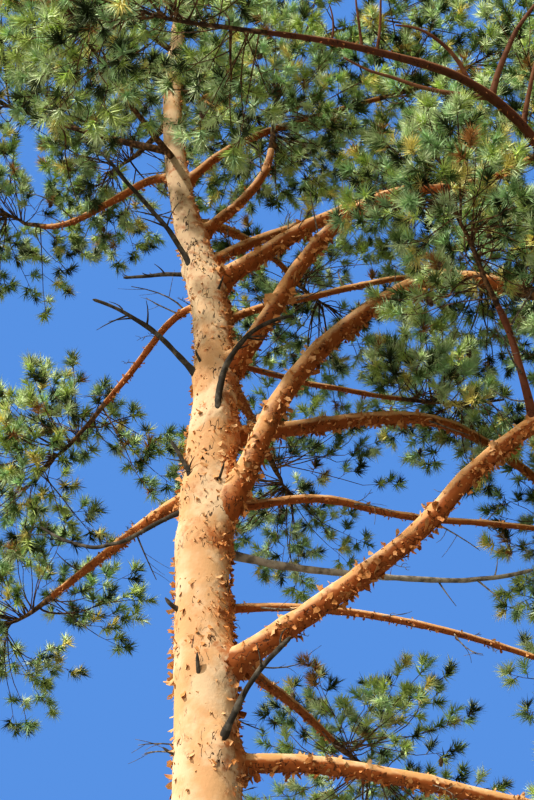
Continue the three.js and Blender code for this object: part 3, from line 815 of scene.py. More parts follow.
@dataclass(frozen=True)
class Finish:
    """A material made of nodes. Each kind says how its colour, roughness and height vary."""

    name: str

    def material(self) -> bpy.types.Material:
        """Gives the finish's material, made the first time that it is asked for."""
        made = bpy.data.materials.get(self.name)
        if made:
            return made
        made = bpy.data.materials.new(self.name)
        made.use_nodes = True
        made.node_tree.nodes.clear()
        colour, roughness, height = self.surface()
        links = {"Base Color": colour, "Roughness": roughness}
        if height:
            links["Normal"] = self.node("Bump", {}, {"Height": height, "Strength": 1.0, "Distance": MM})
        shader = self.node("BsdfPrincipled", {}, links | self.plain())
        out = self.tree.nodes.new("ShaderNodeOutputMaterial")
        self.tree.links.new(shader.socket, out.inputs["Surface"])
        return made

    @property
    def tree(self) -> bpy.types.NodeTree:
        """The node tree of the finish's material."""
        return bpy.data.materials[self.name].node_tree

    def node(self, kind: str, settings: dict[str, Any], sockets: dict[Any, Any]) -> Wire:
        """Adds one node.

        Args:
            kind: The node's type, without its ShaderNode prefix.
            settings: Its settings, such as operation. give names the output that is wanted.
            sockets: What goes into its sockets, by name or number: values or wires.

        Returns:
            The wanted output, or else the first one.
        """
        made = self.tree.nodes.new("ShaderNode" + kind)
        for name, value in settings.items():
            if name != "give":
                setattr(made, name, value)
        for name, value in sockets.items():
            socket = made.inputs[name]
            if isinstance(value, Wire):
                self.tree.links.new(value.socket, socket)
            elif socket.type == "RGBA":
                socket.default_value = (*value, 1)
            else:
                socket.default_value = value
        return Wire(self, made.outputs[settings.get("give", 0)])

    def place(self, stretch: Colour = (1, 1, 1)) -> Wire:
        """Gives the place on the object, in metres, stretched along its axes."""
        spot = self.node("TexCoord", {"give": "Object"}, {})
        return self.node("Mapping", {}, {"Vector": spot, "Scale": stretch})

    def grain(self, spot: Wire, scale: float, detail: float = 3, rough: float = 0.55) -> Wire:
        """Gives soft grain, about 0.3 to 0.7, that changes from place to place."""
        sockets = {"Vector": spot, "Scale": scale, "Detail": detail, "Roughness": rough}
        return self.node("TexNoise", {}, sockets)

    def slits(self, spot: Wire, scale: float, width: float) -> Wire:
        """Gives thin wandering lines: 1 where the grain passes its middle value."""
        grain = self.grain(spot, scale, 2, 0.5)
        return grain.rise(0.5 - width, 0.5) * (1 - grain.rise(0.5, 0.5 + width))

    def mix(self, share: Any, first: Any, second: Any) -> Wire:
        """Mixes two colours: the first where share is 0, the second where it is 1."""
        return self.node("Mix", {"data_type": "RGBA", "give": 2}, {0: share, 6: first, 7: second})

    def value(self, name: str) -> Wire:
        """Reads one of the mesh's own values."""
        return self.node("Attribute", {"attribute_name": name, "give": "Fac"}, {})

    def surface(self) -> tuple[Any, Any, Any]:
        """Gives the colour, the roughness, and the height in millimetres or None."""
        raise NotImplementedError

    def plain(self) -> dict[str, Any]:
        """Gives what is the same all over the surface."""
        return {"Specular IOR Level": 0.25, "Diffuse Roughness": 1.0}


@dataclass(frozen=True)
class TrunkBark(Finish):
    """Bark: thick grey-brown plates near the ground, thin smooth orange skin above them."""

    skin: Colour = (0.79, 0.51, 0.26)
    pale: Colour = (0.86, 0.67, 0.44)
    rust: Colour = (0.55, 0.19, 0.05)
    # Near black for cracks and specks: partly real cracks, partly painted shadow.
    crack_and_shadow: Colour = (0.07, 0.028, 0.012)
    plate: Colour = (0.22, 0.155, 0.115)
    fissure: Colour = (0.045, 0.03, 0.024)
    plates_end: tuple[float, float] = (2.0, 4.2)
    # Heights over which the skin turns paler: partly its thinner bark, partly painted light on the upper
    # trunk.
    paler: tuple[float, float] = (5.6, 7.2)

    def surface(self) -> tuple[Any, Any, Any]:
        """Mixes the skin's tans and rust in blotches, with dark cracks and specks, over the plates; partly
        painted light and shade.
        """
        spot = self.place()
        blotch = self.grain(spot, 5, 4)
        fleck = self.grain(spot, 24, 5, 0.6)
        torn = self.value("torn")
        high = self.node("SeparateXYZ", {"give": "Z"}, {"Vector": spot})
        # Paler skin up high: partly thinner bark, partly painted light.
        colour = self.mix((blotch + high.rise(*self.paler) * 0.16).rise(0.44, 0.60), self.skin, self.pale)
        # Rust: partly real rust in torn and random places, partly painted shade on the side away from the key
        # light.
        rust_and_shade = (torn * 0.5 + self.value("rust_and_shade") * 0.75 + (fleck - 0.5) * 1.6).rise(0.5, 0.95)
        colour = self.mix(rust_and_shade * 0.9, colour, self.rust)
        tall = self.place((1, 1, 0.4))
        some = self.grain(spot, 17, 2).rise(0.5, 0.58)
        # Dark cracks, more of them on the side away from the key light: partly real cracks, partly painted
        # shade.
        cracks = self.slits(tall, 24, 0.02) * some * (torn * 0.8 + self.value("rust_and_shade") * 0.5).rise(0.2, 0.8)
        # Dark specks: partly real cracks, partly painted shadow of the pockets under the flakes.
        specks_and_pocket_shadow = self.grain(tall, 46, 3, 0.5).rise(0.66, 0.7) * (torn + 0.12)
        colour = self.mix((cracks + specks_and_pocket_shadow * 0.8).rise(0.0, 1.0), colour, self.crack_and_shadow)
        low = 1 - (high + (blotch - 0.5) * 2.4).rise(*self.plates_end)
        plates = self.mix(fleck.rise(0.4, 0.65), self.plate, tuple(0.7 * part for part in self.rust))
        plates = self.mix(self.value("fissure"), self.fissure, plates)
        colour = self.mix(low, colour, plates)
        height = self.grain(spot, 70, 5, 0.6) * 2.4 - cracks * 3.0
        return colour, fleck * 0.25 + 0.62, height


@dataclass(frozen=True)
class BoughBark(Finish):
    """Thin bark: smooth and ochre on top, ragged and dark rust red underneath, partly rust and partly painted
    shade.
    """

    top: Colour = (0.78, 0.46, 0.20)
    pale: Colour = (0.86, 0.61, 0.35)
    # Dark rust red underneath: partly rust, partly painted shade.
    under: Colour = (0.42, 0.13, 0.03)
    crack_and_shadow: Colour = (0.07, 0.028, 0.012)

    def surface(self) -> tuple[Any, Any, Any]:
        """Goes from ochre to dark rust red by the mesh's underside value, partly painted shade, with streaks
        and dark cracks.
        """
        spot = self.place()
        streak = self.grain(spot, 14, 5, 0.6)
        fine = self.grain(spot, 60, 4)
        under = (self.value("underside") + (streak - 0.5) * 1.3).rise(0.15, 0.6)
        colour = self.mix(streak.rise(0.45, 0.62), self.top, self.pale)
        colour = self.mix(under, colour, self.under)
        some = self.grain(spot, 29, 2).rise(0.46, 0.54)
        # Dark cracks that gather underneath: partly real cracks, partly painted shade.
        cracks = self.slits(spot, 30, 0.03) * some * (under * 0.8 + 0.15)
        colour = self.mix(cracks, colour, self.crack_and_shadow)
        return colour, fine * 0.3 + 0.58, fine * 2.0 - cracks * 2.5


@dataclass(frozen=True)
class BarkFlakes(Finish):
    """Papery flakes: cream, orange and dark rust, partly the bark's own tones and partly painted light and
    shade.
    """

    cream: Colour = (0.84, 0.58, 0.31)
    fresh: Colour = (0.70, 0.35, 0.12)
    shade: Colour = (0.40, 0.13, 0.03)

    def surface(self) -> tuple[Any, Any, Any]:
        """Mixes cream, orange and dark rust from flake to flake by the mesh's tint, with a fine grain; the
        tint leans to cream towards the key light and to dark rust away from it and under the boughs, which is
        painted light and shade.
        """
        spot = self.place()
        fine = self.grain(spot, 90, 3)
        tint = self.value("tint") + (fine - 0.5) * 0.5
        colour = self.mix(tint.rise(0.15, 0.6), self.cream, self.fresh)
        colour = self.mix(tint.rise(0.6, 0.95), colour, self.shade)
        return colour, fine * 0.3 + 0.55, fine * 1.2


@dataclass(frozen=True)
class BareWood(Finish):
    """Bare dry wood or twig bark, in two tones with grain along it."""

    dark: Colour
    light: Colour
    edges: tuple[float, float] = (0.45, 0.66)
    knot: float = 24.0

    def surface(self) -> tuple[Any, Any, Any]:
        """Mixes the two tones in blotches and gives the surface a fine grain."""
        spot = self.place()
        blotch = self.grain(spot, self.knot, 5, 0.6)
        fine = self.grain(spot, 160, 3)
        colour = self.mix(blotch.rise(*self.edges), self.dark, self.light)
        return colour, fine * 0.3 + 0.65, fine * 1.8 + blotch * 1.5


@dataclass(frozen=True)
class Needles(Finish):
    """Waxy needles of one green, a little lighter in some places."""

    green: Colour

    def surface(self) -> tuple[Any, Any, Any]:
        """Mixes the green with a lighter shade of itself in soft patches."""
        patch = self.grain(self.place(), 9, 2)
        lighter = tuple(min(part * 1.35 + 0.01, 1) for part in self.green)
        return self.mix(patch.rise(0.4, 0.65), self.green, lighter), patch * 0.2 + 0.42, None

    def plain(self) -> dict[str, Any]:
        """Gives the wax its gloss."""
        return {"Specular IOR Level": 0.4}


@dataclass(frozen=True)
class PaleFloor(Finish):
    """The plain pale floor under the tree."""

    pale: Colour = (0.50, 0.49, 0.47)
    worn: Colour = (0.45, 0.45, 0.45)

    def surface(self) -> tuple[Any, Any, Any]:
        """Gives a plain colour with a trace of grain."""
        fine = self.grain(self.place(), 2, 2)
        return self.mix(fine.rise(0.2, 0.8) * 0.06, self.pale, self.worn), 0.9, None


@dataclass
class Flakes:
    """Loose flakes of bark: thin curled plates, held at one edge and free at the other."""

    thickness: float = 0.9
    sizes: tuple[float, float] = (11.0, 46.0)
    slimness: tuple[float, float] = (0.13, 0.44)
    reaches: tuple[float, float] = (0.42, 1.15)
    CORNERS: ClassVar[int] = 9
    POINTS: ClassVar[int] = 11

    def on(self, spots: Array, outward: Array, lengthwise: Array, curl: Array, rng: np.random.Generator,
           downward: float) -> Skin:
        """Puts a flake on each spot.

        A flake's middle line is an arc: it leaves the bark along the surface and turns away from it
        by its curl. Its ragged border runs round the arc's middle, its corners at uneven reaches, and
        a middle point on each face, half the thickness apart, closes the two sides.

        Args:
            spots: Where the held edges are.
            outward: The surface's outward direction at each spot.
            lengthwise: The limb's direction at each spot.
            curl: How far each flake turns away from the surface, in radians.
            rng: Where the chance comes from.
            downward: How strongly the free ends point down the limb, from 0 to 1.

        Returns:
            The flakes, with each one's tint.
        """
        count = len(spots)
        round_limb = unit(np.cross(lengthwise, outward))
        turn = rng.uniform(-math.pi, math.pi, count) * (1 - downward) + math.pi
        free = lengthwise * np.cos(turn)[:, None] + round_limb * np.sin(turn)[:, None]
        wide = np.cross(outward, free)
        length = np.exp(rng.uniform(*np.log(self.sizes), count))
        half = length * rng.uniform(*self.slimness, count)
        corner = np.arange(self.CORNERS) * 2 * math.pi / self.CORNERS
        reach = rng.uniform(*self.reaches, (count, self.POINTS))
        reach[:, self.CORNERS:] = 0
        corner = np.append(corner, (0, 0)) + rng.uniform(-0.25, 0.25, (count, self.POINTS))
        a = np.clip(0.5 + 0.56 * reach * np.cos(corner), 0, 1.2)
        b = reach * np.sin(corner)
        bend = np.maximum(curl, 0.05)[:, None]
        forward = np.sin(bend * a) / bend * length[:, None]
        away = (1 - np.cos(bend * a)) / bend * length[:, None] + 0.4
        side = b * half[:, None]
        points = (spots[:, None] + free[:, None] * forward[..., None] + outward[:, None] * away[..., None]
                  + wide[:, None] * side[..., None])
        skin = outward * np.cos(curl / 2)[:, None] - free * np.sin(curl / 2)[:, None]
        points[:, -2] += skin * self.thickness / 2
        points[:, -1] -= skin * self.thickness / 2
        rim = np.arange(self.CORNERS)
        after = np.roll(rim, -1)
        top, bottom = np.full_like(rim, len(rim)), np.full_like(rim, len(rim) + 1)
        one = np.concatenate([np.stack([after, rim, top], -1), np.stack([rim, after, bottom], -1)])
        faces = self.outwards(points, one) + (np.arange(count) * self.POINTS)[:, None, None]
        tint = np.repeat(rng.uniform(0, 1, count), self.POINTS)
        return Skin(points.reshape(-1, 3), faces.reshape(-1, 3), {"tint": tint})

    @classmethod
    def shrink(cls, flakes: Skin, spots: Array, size: Array) -> None:
        """Makes each flake smaller about the spot that holds it."""
        held = np.repeat(spots, cls.POINTS, axis=0)
        flakes.points = held + (flakes.points - held) * np.repeat(size, cls.POINTS)[:, None]

    @staticmethod
    def outwards(points: Array, one: Array) -> Array:
        """Turns each flake's triangles outwards, by the sign of the volume that they close in."""
        corners = points[:, one]
        middle = points.mean(axis=1)[:, None, None]
        volume = np.einsum("nfi,nfi->n", corners[:, :, 0] - middle[:, 0],
                           np.cross(corners[:, :, 1] - middle[:, 0], corners[:, :, 2] - middle[:, 0]))
        return np.where((volume > 0)[:, None, None], one[None], one[None, :, ::-1])


@dataclass
class Trunk:
    """The trunk: plated bark at its foot, thin ragged skin above, and loose flakes."""

    limbs: Sequence[Limb]
    sides: int = 100
    ring_height: float = 12.4
    plates_end: tuple[float, float] = (1700.0, 3700.0)
    plate_depth: float = 15.0
    flake_count: int = 6400
    # The heading of the side away from the key light, where rust and painted shade gather.
    rust_and_shade_heading: float = 20.0
    torn_reach: float = 95.0
    ring_reach: float = 38.0
    smooth_heading: float = 246.0
    weld_reach: float = 105.0
    FAR: ClassVar[float] = 600.0
    ROOT_STEPS: ClassVar[int] = 12
    flaky: tuple[float, float] = (1900.0, 3600.0)
    top_gap: float = 150.0
    full_flakes: float = 140.0
    drift: float = 22.0
    plate_size: tuple[float, float, float] = (88.0, 88.0, 230.0)
    scale_size: tuple[float, float, float] = (52.0, 52.0, 80.0)
    FLAKE_TRIES: ClassVar[int] = 9
    flare: Flare = Flare()
    flakes: Flakes = field(default_factory=lambda: Flakes(sizes=(12.0, 62.0)))

    def base(self, height: Array, angle: Array) -> tuple[Array, Array]:
        """Gives the smooth trunk's surface: its axis plus its flared radius round it.

        Args:
            height: Heights above the ground.
            angle: Turns round the axis.

        Returns:
            The surface points and the outward directions.
        """
        centre, radius = trunk_at(height.ravel())
        centre, radius = centre.reshape(*height.shape, 3), radius.reshape(height.shape)
        outward = np.stack([np.cos(angle), np.sin(angle), np.zeros_like(angle)], axis=-1)
        return centre + outward * (radius * self.flare.at(height, angle))[..., None], outward

    def torn(self, points: Array, gap: Array) -> Array:
        """Says how torn the bark is: most round the limbs' roots, in rings at their height, in patches.

        Args:
            points: Places on the trunk.
            gap: How far each is from the nearest limb's skin.

        Returns:
            A share from 0 to 1.
        """
        patch = smooth(0.05, 0.55, lumps(points * [1, 1, 1.9], 210, 41) + 0.6 * lumps(points, 75, 42))
        thin = smooth(7000, 7900, points[..., 2])
        near = np.exp(-(np.maximum(gap, 0) / self.torn_reach) ** 2)
        roots = np.array([limb.points[4, 2] for limb in self.limbs])
        high = points[..., 2] + 40 * lumps(points, 110, 44)
        ring = np.exp(-(np.abs(high[..., None] - roots).min(axis=-1) / self.ring_reach) ** 2)
        return np.clip(0.6 * patch + 0.95 * near + 0.6 * ring + 0.4 * thin, 0, 1)

    def gap_to_limbs(self, points: Array) -> Array:
        """Measures how far places on the trunk are from the skin of the nearest limb's root."""
        flat = points.reshape(-1, 3)
        gap = np.full(len(flat), self.FAR)
        for limb in self.limbs:
            root = limb.points[:self.ROOT_STEPS]
            near = np.abs(flat[:, 2] - root[:, 2].mean()) < self.FAR
            away = np.linalg.norm(flat[near, None] - root[None], axis=-1) - limb.radii[:self.ROOT_STEPS]
            gap[near] = np.minimum(gap[near], away.min(axis=1))
        return gap.reshape(points.shape[:-1])

    def make(self, rng: np.random.Generator) -> None:
        """Builds the bark and its flakes."""
        rings = int(TRUNK_TOP / self.ring_height)
        height, angle = np.meshgrid(np.linspace(0, TRUNK_TOP, rings),
                                    np.arange(self.sides) * 2 * math.pi / self.sides, indexing="ij")
        points, outward = self.base(height, angle)
        plated = 1 - smooth(*self.plates_end, height + 500 * lumps(points, 260, 7))
        shifted = points + wander(points, 120, 11) * self.drift
        inside, _ = scales(shifted, self.plate_size, 21)
        fissure = smooth(0.02, 0.34, inside)
        slim = np.clip(trunk_at(height.ravel())[1].reshape(height.shape) / 130, 0.25, 1)
        ledge, owner = scales(shifted, self.scale_size, 31)
        gap = self.gap_to_limbs(points)
        torn = self.torn(points, gap)
        # Rust and painted shade on the side away from the key light: partly real rust, partly painted shade.
        rust_and_shade = np.cos(angle - math.radians(self.rust_and_shade_heading)) * 0.7 + 0.5 * lumps(points, 160, 43)
        raised = smooth(0.45, 0.6, owner) * smooth(0, 0.12, ledge)
        relief = (fissure - 1) * self.plate_depth * plated
        relief += plated * 4 * (owner - 0.5) * smooth(0, 0.2, ledge)
        relief += (1 - plated) * slim * (torn * 3.6 * raised + 3.4 * lumps(points, 150, 51)
                                         + 1.2 * lumps(points, 42, 52))
        relief += weld(gap, self.weld_reach * slim)
        grown = points + outward * relief[..., None]
        skin = Skin(grown.reshape(-1, 3), rod_faces(1, rings, self.sides),
                    {"fissure": fissure.ravel(), "torn": torn.ravel(), "rust_and_shade": np.clip(rust_and_shade, 0, 1).ravel()})
        skin.make("Trunk_bark", TrunkBark("Trunk_bark"), Slot.TRUNK, ["trunk"])
        self.make_flakes(rng)

    def make_flakes(self, rng: np.random.Generator) -> None:
        """Deals flakes out over the trunk above its plates, most where the bark is torn."""
        tries = self.flake_count * self.FLAKE_TRIES
        low, high = self.flaky[0], TRUNK_TOP - self.top_gap
        height = low + (high - low) * rng.uniform(0, 1, tries) ** 0.9
        angle = rng.uniform(0, 2 * math.pi, tries)
        points, outward = self.base(height, angle)
        thick = trunk_at(height)[1] / self.full_flakes
        side = smooth(-0.2, 0.9, np.cos(angle - math.radians(self.rust_and_shade_heading)))
        torn = self.torn(points, self.gap_to_limbs(points))
        plain = 1 - 0.7 * smooth(0.35, 1.0, np.cos(angle - math.radians(self.smooth_heading)))
        chance = (0.04 + torn ** 1.3 * (0.7 + 0.9 * side)) * plain * thick * smooth(*self.flaky, height)
        kept = np.flatnonzero(rng.uniform(0, 1, tries) < chance)[:self.flake_count]
        curl = rng.uniform(0.4, 2.2, len(kept))
        flakes = self.flakes.on(points[kept], outward[kept], np.tile(UP, (len(kept), 1)), curl, rng, 0.4)
        # Flakes on the side away from the key light lean to dark rust: partly fresh bark, partly painted
        # shade.
        flakes.values["tint"] = flakes.values["tint"] * 0.6 + np.repeat(side[kept], Flakes.POINTS) * 0.4
        self.flakes.shrink(flakes, points[kept], np.clip(thick[kept], 0.45, 1))
        flakes.make("Trunk_flakes", BarkFlakes("Bark_flakes"), Slot.TRUNK, ["trunk"], rounded=False)


@dataclass
class Boughs:
    """The live boughs: tapering limbs with a smooth top, and flakes hanging from below."""

    limbs: Sequence[Limb]
    side_limbs: Sequence[Limb]
    ring_gap: float = 10.5
    sides: tuple[int, int] = (20, 30)
    flake_count: int = 7600
    root_sink: float = 26.0
    brown_limbs: tuple[str, ...] = (BROWN_LIMB, "great_right_fork")
    root_flare: float = 0.20
    root_droop: float = 0.34
    weld_reach: float = 55.0
    knot_gap: float = 390.0
    knot_reach: float = 30.0
    scale_size: tuple[float, float, float] = (34.0, 34.0, 34.0)
    stout_from: float = 60.0
    full_relief: float = 38.0
    full_flakes: float = 42.0
    brown_flakes: float = 0.12
    slim_sides: int = 10
    flakes: Flakes = field(default_factory=lambda: Flakes(sizes=(12.0, 60.0)))

    def make_side_limbs(self, finish: Finish) -> None:
        """Builds the slim side limbs of the brown limb, each a rod that wobbles towards its tip."""
        line = np.stack([limb.points for limb in self.side_limbs])
        line = line + wander(line, 120, 64) * 9 * np.linspace(0, 1, line.shape[1])[:, None]
        skin = rods(line, np.stack([limb.radii for limb in self.side_limbs]), self.slim_sides)
        skin.values["underside"] = np.full(len(skin.points), 0.4)
        skin.make("Side_limbs", finish, Slot.BOUGH, ["bough_" + BROWN_LIMB])

    def tube(self, limb: Limb) -> tuple[Array, Array, Array, Array]:
        """Lays rings along a limb.

        A ring point is the centre line plus the radius times cos(turn) sideways and sin(turn) over.
        The root spreads where it leaves the trunk, most of all on its lower side.

        Args:
            limb: The limb.

        Returns:
            The ring points, the outward directions, the limb's directions, and the radii.
        """
        rings = int(limb.length / self.ring_gap)
        share = np.linspace(0, 1, rings)
        line = along_line(limb.points, share)
        forward = unit(along_line(limb.directions, share))
        if limb.grows_on:
            line[0] -= forward[0] * self.root_sink
        line = line + wander(line, 210, 61) * (5 * np.sin(math.pi * share))[:, None]
        side = unit(limb.sideways - forward * (forward @ limb.sideways)[:, None])
        over = np.cross(forward, side)
        count = self.sides[1] if limb.thick[0] > self.stout_from else self.sides[0]
        turn = np.arange(count) * 2 * math.pi / count
        outward = side[:, None] * np.cos(turn)[:, None] + over[:, None] * np.sin(turn)[:, None]
        radius = along(limb.radii, share)
        spread = root_spread(line, radius) * (self.root_flare - self.root_droop * outward[..., 2])
        points = line[:, None] + outward * (radius[:, None] * (1 + spread))[..., None]
        return points, outward, forward, radius

    def make(self, rng: np.random.Generator) -> None:
        """Builds each bough, then deals flakes out over all of them."""
        bright = BoughBark("Bough_bark")
        brown = BoughBark("Bough_bark_brown", (0.36, 0.17, 0.085), (0.46, 0.25, 0.13), (0.17, 0.06, 0.028))
        spots, outs, ways, small = [], [], [], []
        area = sum(limb.length * limb.radii.mean() for limb in self.limbs)
        for limb in self.limbs:
            points, outward, forward, radius = self.tube(limb)
            under = smooth(-0.35, 0.8, -outward[..., 2])
            ledge, owner = scales(points, self.scale_size, 71)
            reach = np.linspace(0, limb.length, len(points)) + limb.length
            knot = np.exp(-((reach % self.knot_gap - self.knot_gap / 2) / self.knot_reach) ** 2)[:, None]
            ragged = np.clip(0.85 * under + 0.8 * knot + 0.4 * lumps(points, 110, 72), 0, 1)
            relief = ragged * 5.5 * (owner - 0.4) * smooth(0, 0.15, ledge) + 2.2 * lumps(points, 60, 73)
            relief += 4 * knot
            slim = np.clip(radius / self.full_relief, 0.35, 1)[:, None]
            relief = slim * (relief + weld(trunk_gap(points), self.weld_reach))
            skin = Skin((points + outward * relief[..., None]).reshape(-1, 3),
                        rod_faces(1, *points.shape[:2]), {"underside": under.ravel()})
            finish = brown if limb.name in self.brown_limbs else bright
            skin.make("Bough_" + limb.name, finish, Slot.BOUGH, ["bough_" + limb.name])
            tries = int(4 * self.flake_count * limb.length * limb.radii.mean() / area)
            ring = rng.integers(3, len(points) - 1, tries)
            turn = rng.integers(0, points.shape[1], tries)
            flaky = self.brown_flakes if finish is brown else 1
            kept = rng.uniform(0, 1, tries) < flaky * (0.03 + 0.62 * ragged[ring, turn] ** 2)
            ring, turn = ring[kept], turn[kept]
            jitter = rng.uniform(-6, 6, (len(ring), 1)) * forward[ring]
            spots.append(points[ring, turn] + jitter)
            outs.append(outward[ring, turn])
            ways.append(forward[ring])
            small.append(np.clip(radius[ring] / self.full_flakes, 0.42, 0.95))
        spot, outward, way = np.concatenate(spots), np.concatenate(outs), np.concatenate(ways)
        curl = rng.uniform(0.6, 2.0, len(spot))
        flakes = self.flakes.on(spot, outward, way, curl, rng, 0.1)
        # Flakes under the boughs lean to dark rust: partly fresh bark, partly painted shade.
        low = np.repeat(smooth(-0.1, 0.6, -outward[:, 2]), Flakes.POINTS)
        flakes.values["tint"] = flakes.values["tint"] * 0.6 + low * 0.45
        self.flakes.shrink(flakes, spot, np.concatenate(small))
        nodes = ["bough_" + limb.name for limb in self.limbs]
        flakes.make("Bough_flakes", BarkFlakes("Bark_flakes"), Slot.BOUGH, nodes, rounded=False)
        self.make_side_limbs(brown)


@dataclass(frozen=True)
class Stub:
    """The short broken foot of a limb that the tree has shed."""

    height: float
    heading: float
    rise: float
    length: float
    thick: float

    def body(self) -> Skin:
        """Builds the stub from inside the trunk to its slanting broken end."""
        axis, radius = trunk_at(np.array([self.height]))
        level = heading_to(self.heading, 0)
        foot = axis[0] + level * radius[0] * 0.85
        elbow = axis[0] + level * (radius[0] + self.thick)
        tip = elbow + heading_to(self.heading, self.rise) * self.length
        share = np.linspace(0, 1, 7)[:, None]
        line = foot * (1 - share) ** 2 + elbow * 2 * share * (1 - share) + tip * share**2
        thick = self.thick / 2 * np.array([1.5, 1.25, 1, 0.9, 0.85, 0.75, 0.25])
        return rods(line[None], thick[None], 9)


@dataclass
class DeadLimbs:
    """The dead limbs: bare, crooked and broken, with a few dry forks."""

    STUBS: ClassVar[tuple[Stub, ...]] = (
        Stub(4945, 258, 74, 78, 19), Stub(5290, 205, 50, 52, 22), Stub(5905, 293, 52, 90, 13),
        Stub(4640, 190, 40, 40, 15), Stub(6620, 226, 66, 60, 14), Stub(7080, 300, 60, 66, 13),
        Stub(4250, 280, 45, 45, 16), Stub(5480, 120, 35, 90, 20), Stub(6380, 70, 40, 110, 18),
        Stub(3900, 40, 30, 70, 20),
    )

    limbs: Sequence[Limb]
    ring_gap: float = 14.0
    sides: int = 12
    forks: int = 5
    fork_places: tuple[float, float] = (0.45, 0.97)
    fork_length: tuple[float, float] = (60.0, 210.0)
    full_length: float = 900.0

    def make(self, rng: np.random.Generator) -> None:
        """Builds each dead limb with its forks."""
        dark = BareWood("Dead_wood", (0.055, 0.047, 0.036), (0.17, 0.15, 0.115))
        pale = BareWood("Dead_wood_pale", (0.20, 0.17, 0.13), (0.46, 0.42, 0.34), (0.35, 0.6))
        for limb in self.limbs:
            rings = int(limb.length / self.ring_gap)
            share = np.linspace(0, 1, rings)
            line = along_line(limb.points, share)
            line = line + wander(line, 95, 81) * (5.5 * np.sin(math.pi * share))[:, None]
            radius = along(limb.radii, share) * (1 + 0.16 * lumps(line, 55, 84))
            radius *= 1 + 0.45 * root_spread(line, radius)[:, 0]
            radius[-1] *= 0.35
            body = rods(line[None], radius[None], self.sides)
            at = rng.uniform(*self.fork_places, self.forks)
            ring = (at * (rings - 1)).astype(int)
            forward = unit(np.gradient(line, axis=0))[ring]
            out = unit(np.cross(forward, rng.normal(size=(self.forks, 3))))
            way = unit(forward * rng.uniform(0.5, 1.0, (self.forks, 1)) + out)
            length = rng.uniform(*self.fork_length, (self.forks, 1)) * min(1, limb.length / self.full_length)
            thick = np.minimum(radius[ring] * 0.5, 5.5)[:, None] * np.linspace(1, 0.25, 5)
            start = line[ring]
            forks = rods(bent(start, start + way * length, rng.normal(0, 7, (self.forks, 3)), 5), thick, 6)
            finish = pale if limb.name == "pale_right" else dark
            skin = Skin.joined([body, forks])
            skin.make("Dead_limb_" + limb.name, finish, Slot.DEAD, ["dead_" + limb.name])
        stubs = Skin.joined([stub.body() for stub in self.STUBS])
        stubs.make("Dead_stubs", dark, Slot.DEAD, ["trunk"])


class Tint(Enum):
    """The greens of the needles, dealt out by spray, with how often each comes up."""

    BLUE_GREEN = ((0.38, 0.56, 0.29), 0.22)
    GREY_GREEN = ((0.60, 0.72, 0.42), 0.22)
    DEEP_GREEN = ((0.13, 0.21, 0.06), 0.14)
    FRESH_GREEN = ((0.46, 0.58, 0.18), 0.19)
    YELLOW_GREEN = ((0.72, 0.66, 0.24), 0.06)
    # Near black: partly the needles' own tone, partly painted shade for the crown's dark depths.
    DARK_GREEN = ((0.035, 0.06, 0.015), 0.15)
    DRY = ((0.38, 0.21, 0.07), 0.02)


